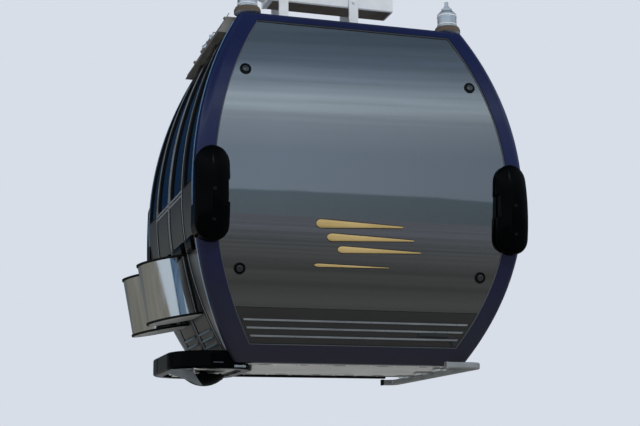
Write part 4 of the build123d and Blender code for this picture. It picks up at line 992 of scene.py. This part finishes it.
# bumper hoop: bolts of its clip and its plate, as places in the cabin
hoop = {"clipBolts": (-0.722, -0.680), "clipBoltY": -0.474, "clipBoltHeight": -0.022,
        "plateBoltX": (-0.97, -0.72), "plateBoltY": (-0.34, -0.16, 0.10, 0.30), "plateBoltHeight": -0.016,
        # pointed guard under its front, as (x, height), and the pale plate under its floor, as (x, y)
        "guardY": -0.386, "guardThick": 0.004, "guard": (
            (-1.100, -0.040), (-1.098, -0.066), (-1.040, -0.088), (-0.985, -0.108), (-0.950, -0.124),
            (-0.925, -0.134), (-0.905, -0.132), (-0.925, -0.108), (-0.945, -0.078), (-0.960, -0.052),
            (-0.962, -0.040)),
        "plateHeight": -0.037, "plateThick": 0.003, "plate": (
            (-0.975, -0.455), (-0.745, -0.300), (-0.745, 0.150), (-0.790, 0.230), (-0.880, -0.070))}
# straight bars of the hoop and the underside: both ends as (x, y, height), section (width, root, proud, cut),
# the way each faces, steps along it, slot and finish
straightBars = {
    "hoopJoint": ((-1.095, 0.080, -0.026), (-1.095, 0.080, 0.060), (0.016, -0.001, 0.002), (-1, 0, 0), 8,
                  "black_plastic", None),
    "hoopDash": ((-0.860, -0.470, -0.001), (-0.800, -0.470, -0.001), (0.006, -0.001, 0.001), (0, -1, 0), 5,
                 "aluminium", dashFinish),
    "hoopClip": ((-0.735, -0.466, -0.022), (-0.665, -0.466, -0.022), (0.016, -0.006, 0.008, 0.004),
                 (0, -1, 0), 5, "polished_steel", None),
    "undersideJoint": ((-0.700, 0.0, 0.0), (0.700, 0.0, 0.0), (0.050, -0.001, 0.002), (0, 0, -1), 8,
                       "underbody", None),
    "undersideSeal": ((-0.680, 0.452, 0.0), (0.550, 0.452, 0.0), (0.030, -0.002, 0.014), (0, 0, -1), 8,
                      "rubber", None),
}
for name, (start, end, section, upward, steps, slot, material) in straightBars.items():
    path = np.linspace(start, end, steps) + (0, 0, underside)
    dress(sharpen(sweptPiece(name, path, stripSection(*section), upward)), slot, material=material)
places = [(x, hoop["clipBoltY"], hoop["clipBoltHeight"] + underside) for x in hoop["clipBolts"]]
bolts("clipBolts", places, (0, -1, 0), radius=0.008, tall=0.005, slot="polished_steel")
places = [(x, y, hoop["plateBoltHeight"] + underside) for x in hoop["plateBoltX"] for y in hoop["plateBoltY"]]
bolts("plateBolts", places, (0, 0, -1), radius=0.010, tall=0.007)
corners = [(x, hoop["guardY"], height + underside) for x, height in hoop["guard"]]
dress(flatPlate("hoopGuard", corners, hoop["guardThick"], (0, 1, 0)), "grey_panel", material=guardFinish)
corners = [(x, y, hoop["plateHeight"] + underside) for x, y in hoop["plate"]]
dress(flatPlate("hoopPalePlate", corners, hoop["plateThick"], (0, 0, -1)), "underbody")
print("hoop fittings made")


# underside: screws along both long edges, and dark slots, each two half circles joined by straight sides
under = {"screwX": 0.62, "screwY": 0.375, "screwCount": 9,
         "frontSlots": (-0.52, -0.28, -0.04, 0.24, 0.50), "rearSlots": (-0.46, -0.22, 0.02, 0.26, 0.46),
         "slotY": 0.352, "slotHalf": 0.026, "slotRadius": 0.011, "slotThick": 0.001}
places = [(x, side * under["screwY"], underside)
          for x in np.linspace(-under["screwX"], under["screwX"], under["screwCount"]) for side in (-1, 1)]
bolts("undersideScrews", places, (0, 0, -1), radius=0.009, tall=0.004, count=12)
turn = np.linspace(-np.pi / 2, np.pi / 2, 8)
halfSlot = np.stack([under["slotHalf"] + under["slotRadius"] * np.cos(turn),
                     under["slotRadius"] * np.sin(turn), np.zeros_like(turn)], 1)
slot = np.concatenate([halfSlot, halfSlot * (-1, -1, 1)])
slotPlaces = [(x, -under["slotY"], underside) for x in under["frontSlots"]]
slotPlaces += [(x, under["slotY"], underside) for x in under["rearSlots"]]
slotParts = [flatPlate("slotPart", slot + place, under["slotThick"], (0, 0, -1)) for place in slotPlaces]
dress(joined("undersideSlots", slotParts), "rubber")

# guide rail: caps on its ends, each a square section swept over three steps, and bolts in its brackets
rail = {"x": 0.724, "half": 0.735, "front": 0.220, "rear": 0.090, "tube": 0.038, "height": -0.0196,
        "capOver": 0.0012, "capSteps": (0.006, 0.0, -0.003, -0.005), "brackets": (-0.33, 0.0, 0.33),
        "boltIn": (0.060, 0.105), "boltAcross": (-0.016, 0.016), "boltHeight": -0.0105}
capHalf = rail["tube"] / 2 + rail["capOver"]
for name, y, length, slot, material in (
        ("railCapFront", -rail["half"], rail["front"], "galvanised_steel", railFinish),
        ("railCapRear", rail["half"], rail["rear"], "rubber", None)):
    path = [(rail["x"] - length + step, y, rail["height"] + underside) for step in rail["capSteps"]]
    cap = sweptPiece(name, path, rectangle(2 * capHalf, -capHalf, capHalf), (0, 0, 1))
    dress(sharpen(cap), slot, material=material)
places = [(rail["x"] - inwards, y + across, rail["boltHeight"] + underside) for y in rail["brackets"]
          for inwards in rail["boltIn"] for across in rail["boltAcross"]]
bolts("railBolts", places, (0, 0, -1), radius=0.009, tall=0.007)
print("underside fittings made")


# plain gold stripes on the front pane: rounded at the left and drawn out to a point at the right
stripes = {"thick": 0.0008, "lift": 0.0003, "setback": 0.012, "edge": 0.004, "steps": 60, "crowd": 1.5,
           "start": 0.06, "taper": 0.85, "across": (-1.0, -0.33, 0.33, 1.0),
           # left end, right end, height, width at the left
           "rows": ((-0.31, 0.24, 0.800, 0.054), (-0.24, 0.31, 0.722, 0.048), (-0.17, 0.36, 0.652, 0.042),
                    (-0.31, 0.16, 0.556, 0.020))}


# half-width = full x (a quarter ellipse at the start) x (1 - taper x share along), on the pane's own curve
def stripe(low, high, height, width, grow, lift):
    share = np.linspace(0, 1, stripes["steps"])**stripes["crowd"]
    rounded = np.sqrt(np.clip(1 - (1 - np.minimum(share / stripes["start"], 1))**2, 0, 1))
    half = width / 2 * rounded * (1 - stripes["taper"] * share) + grow
    rise = height + np.array(stripes["across"]) * half[:, None]
    along = (share * (high - low) + low)[:, None]
    outer = endPoint(-1, along, rise, lift - stripes["setback"])
    inner = endPoint(-1, along, rise, lift - stripes["setback"] - stripes["thick"])
    grid = np.concatenate([outer, inner[:, ::-1]], 1)
    piece = gridPiece("stripePart", grid, wrapV=True)
    capEnds(piece, *grid.shape[:2])
    return outward(piece)


thick, lift = stripes["thick"], stripes["lift"]
gold = [stripe(*row, 0.0, lift + 2 * thick) for row in stripes["rows"]]
dark = [stripe(*row, stripes["edge"], lift + thick) for row in stripes["rows"]]
dress(joined("paneStripes", gold), "aluminium", material=goldFoil)
dress(joined("paneStripeEdges", dark), "rubber", material=darkFoil)
print("pane stripes made")


# bench pads: a crowned block that cloth simulation fills, then sewn channels
pads = {"shrink": 0.006, "power": 0.22, "around": 96, "over": 17, "voxel": 0.009, "pressure": 4.0,
        "frames": 20, "quality": 4, "swell": 0.012, "channels": (-0.27, 0.0, 0.27), "channelWidth": 0.012,
        "channelDepth": 0.010, "backThickness": 0.048}


# sign of the value x its size^power, which squares a circle's cosine or sine
def squared(value):
    return np.sign(value) * np.abs(value)**pads["power"]


# rounded block between two corners: a squared circle across each pair of sides; it leans along the rope
def padBlock(name, low, high, lean):
    low, high = np.array(low) + pads["shrink"], np.array(high) - pads["shrink"]
    middle, half = (low + high) / 2, (high - low) / 2
    turn = np.linspace(0, 2 * np.pi, pads["around"], endpoint=False)
    rise = np.linspace(-np.pi / 2, np.pi / 2, pads["over"])
    x = squared(np.cos(rise))[:, None] * squared(np.cos(turn))
    y = squared(np.cos(rise))[:, None] * squared(np.sin(turn))
    z = np.repeat(squared(np.sin(rise))[:, None], len(turn), 1)
    grid = middle + np.stack([x, y, z], -1) * half
    grid[..., 1] += lean * (grid[..., 2] - middle[2])
    return outward(gridPiece(name, grid, wrapV=True))


def applied(piece):
    graph = bpy.context.evaluated_depsgraph_get()
    mesh = bpy.data.meshes.new_from_object(piece.evaluated_get(graph))
    piece.modifiers.clear()
    piece.data = mesh
    return piece


def remeshed(piece):
    change = piece.modifiers.new("even", "REMESH")
    change.mode = "VOXEL"
    change.voxel_size = pads["voxel"]
    return applied(piece)


# cloth under pressure; no point ends further than swell from where it started
def filled(piece):
    start = pointsOf(piece)
    cloth = piece.modifiers.new("fill", "CLOTH")
    cloth.settings.use_pressure = True
    cloth.settings.uniform_pressure_force = pads["pressure"]
    cloth.settings.effector_weights.gravity = 0.0
    cloth.settings.quality = pads["quality"]
    cloth.point_cache.frame_start, cloth.point_cache.frame_end = 1, pads["frames"]
    for step in range(1, pads["frames"] + 1):
        bpy.context.scene.frame_set(step)
    applied(piece)
    bpy.context.scene.frame_set(1)
    shift = pointsOf(piece) - start
    far = np.linalg.norm(shift, axis=1, keepdims=True)
    setPoints(piece, start + shift * np.minimum(1, pads["swell"] / np.maximum(far, 1e-9)))


def smoothed(piece):
    smoother = piece.modifiers.new("smooth", "SUBSURF")
    smoother.levels = smoother.render_levels = 1
    return applied(piece)


# a channel pulls the face towards the pad's back: depth x (1 - share of the channel's width)^2
def sewn(piece, facing):
    points = pointsOf(piece)
    normals = np.empty(len(points) * 3)
    piece.data.vertices.foreach_get("normal", normals)
    face = np.clip(normals.reshape(-1, 3) @ facing, 0, 1)
    for across in pads["channels"]:
        near = np.clip(1 - np.abs(points[:, 0] - across) / pads["channelWidth"], 0, 1)
        points -= (pads["channelDepth"] * near**2 * face)[:, None] * facing
    setPoints(piece, points)
    return piece


# a pad in its node's box; one that leans is thinner than the box by the lean over its height
def padPiece(node, facing, lean):
    low, high = (np.array(corner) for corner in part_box(node))
    if lean:
        depth = high[1] - low[1] - abs(lean) * (high[2] - low[2])
        middle = (low[1] + high[1]) / 2
        low[1], high[1] = middle - depth / 2, middle + depth / 2
    piece = padBlock(padName(node), low, high, lean)
    remeshed(piece)
    filled(piece)
    smoothed(piece)
    return sewn(piece, facing)


def padName(node):
    return node.replace("_", "") + "Pad"


# rear pads are the front ones turned by half a turn about the upright axis
for kind, facing in (("bench_cushion_", (0.0, 0.0, 1.0)), ("bench_back_pad_", (0.0, 1.0, 0.0))):
    lean = 0.0
    if "back" in kind:
        lowest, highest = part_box(kind + "front")
        lean = -(highest.y - lowest.y - pads["backThickness"]) / (highest.z - lowest.z)
    front = padPiece(kind + "front", np.array(facing), lean)
    rear = addMesh(padName(kind + "rear"), pointsOf(front) * (-1, -1, 1),
                   [list(face.vertices) for face in front.data.polygons])
    for endName, piece in (("front", front), ("rear", rear)):
        piece.data.polygons.foreach_set("use_smooth", [True] * len(piece.data.polygons))
        dress(piece, "bench_leather")
        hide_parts(kind + endName)
print("bench pads made")
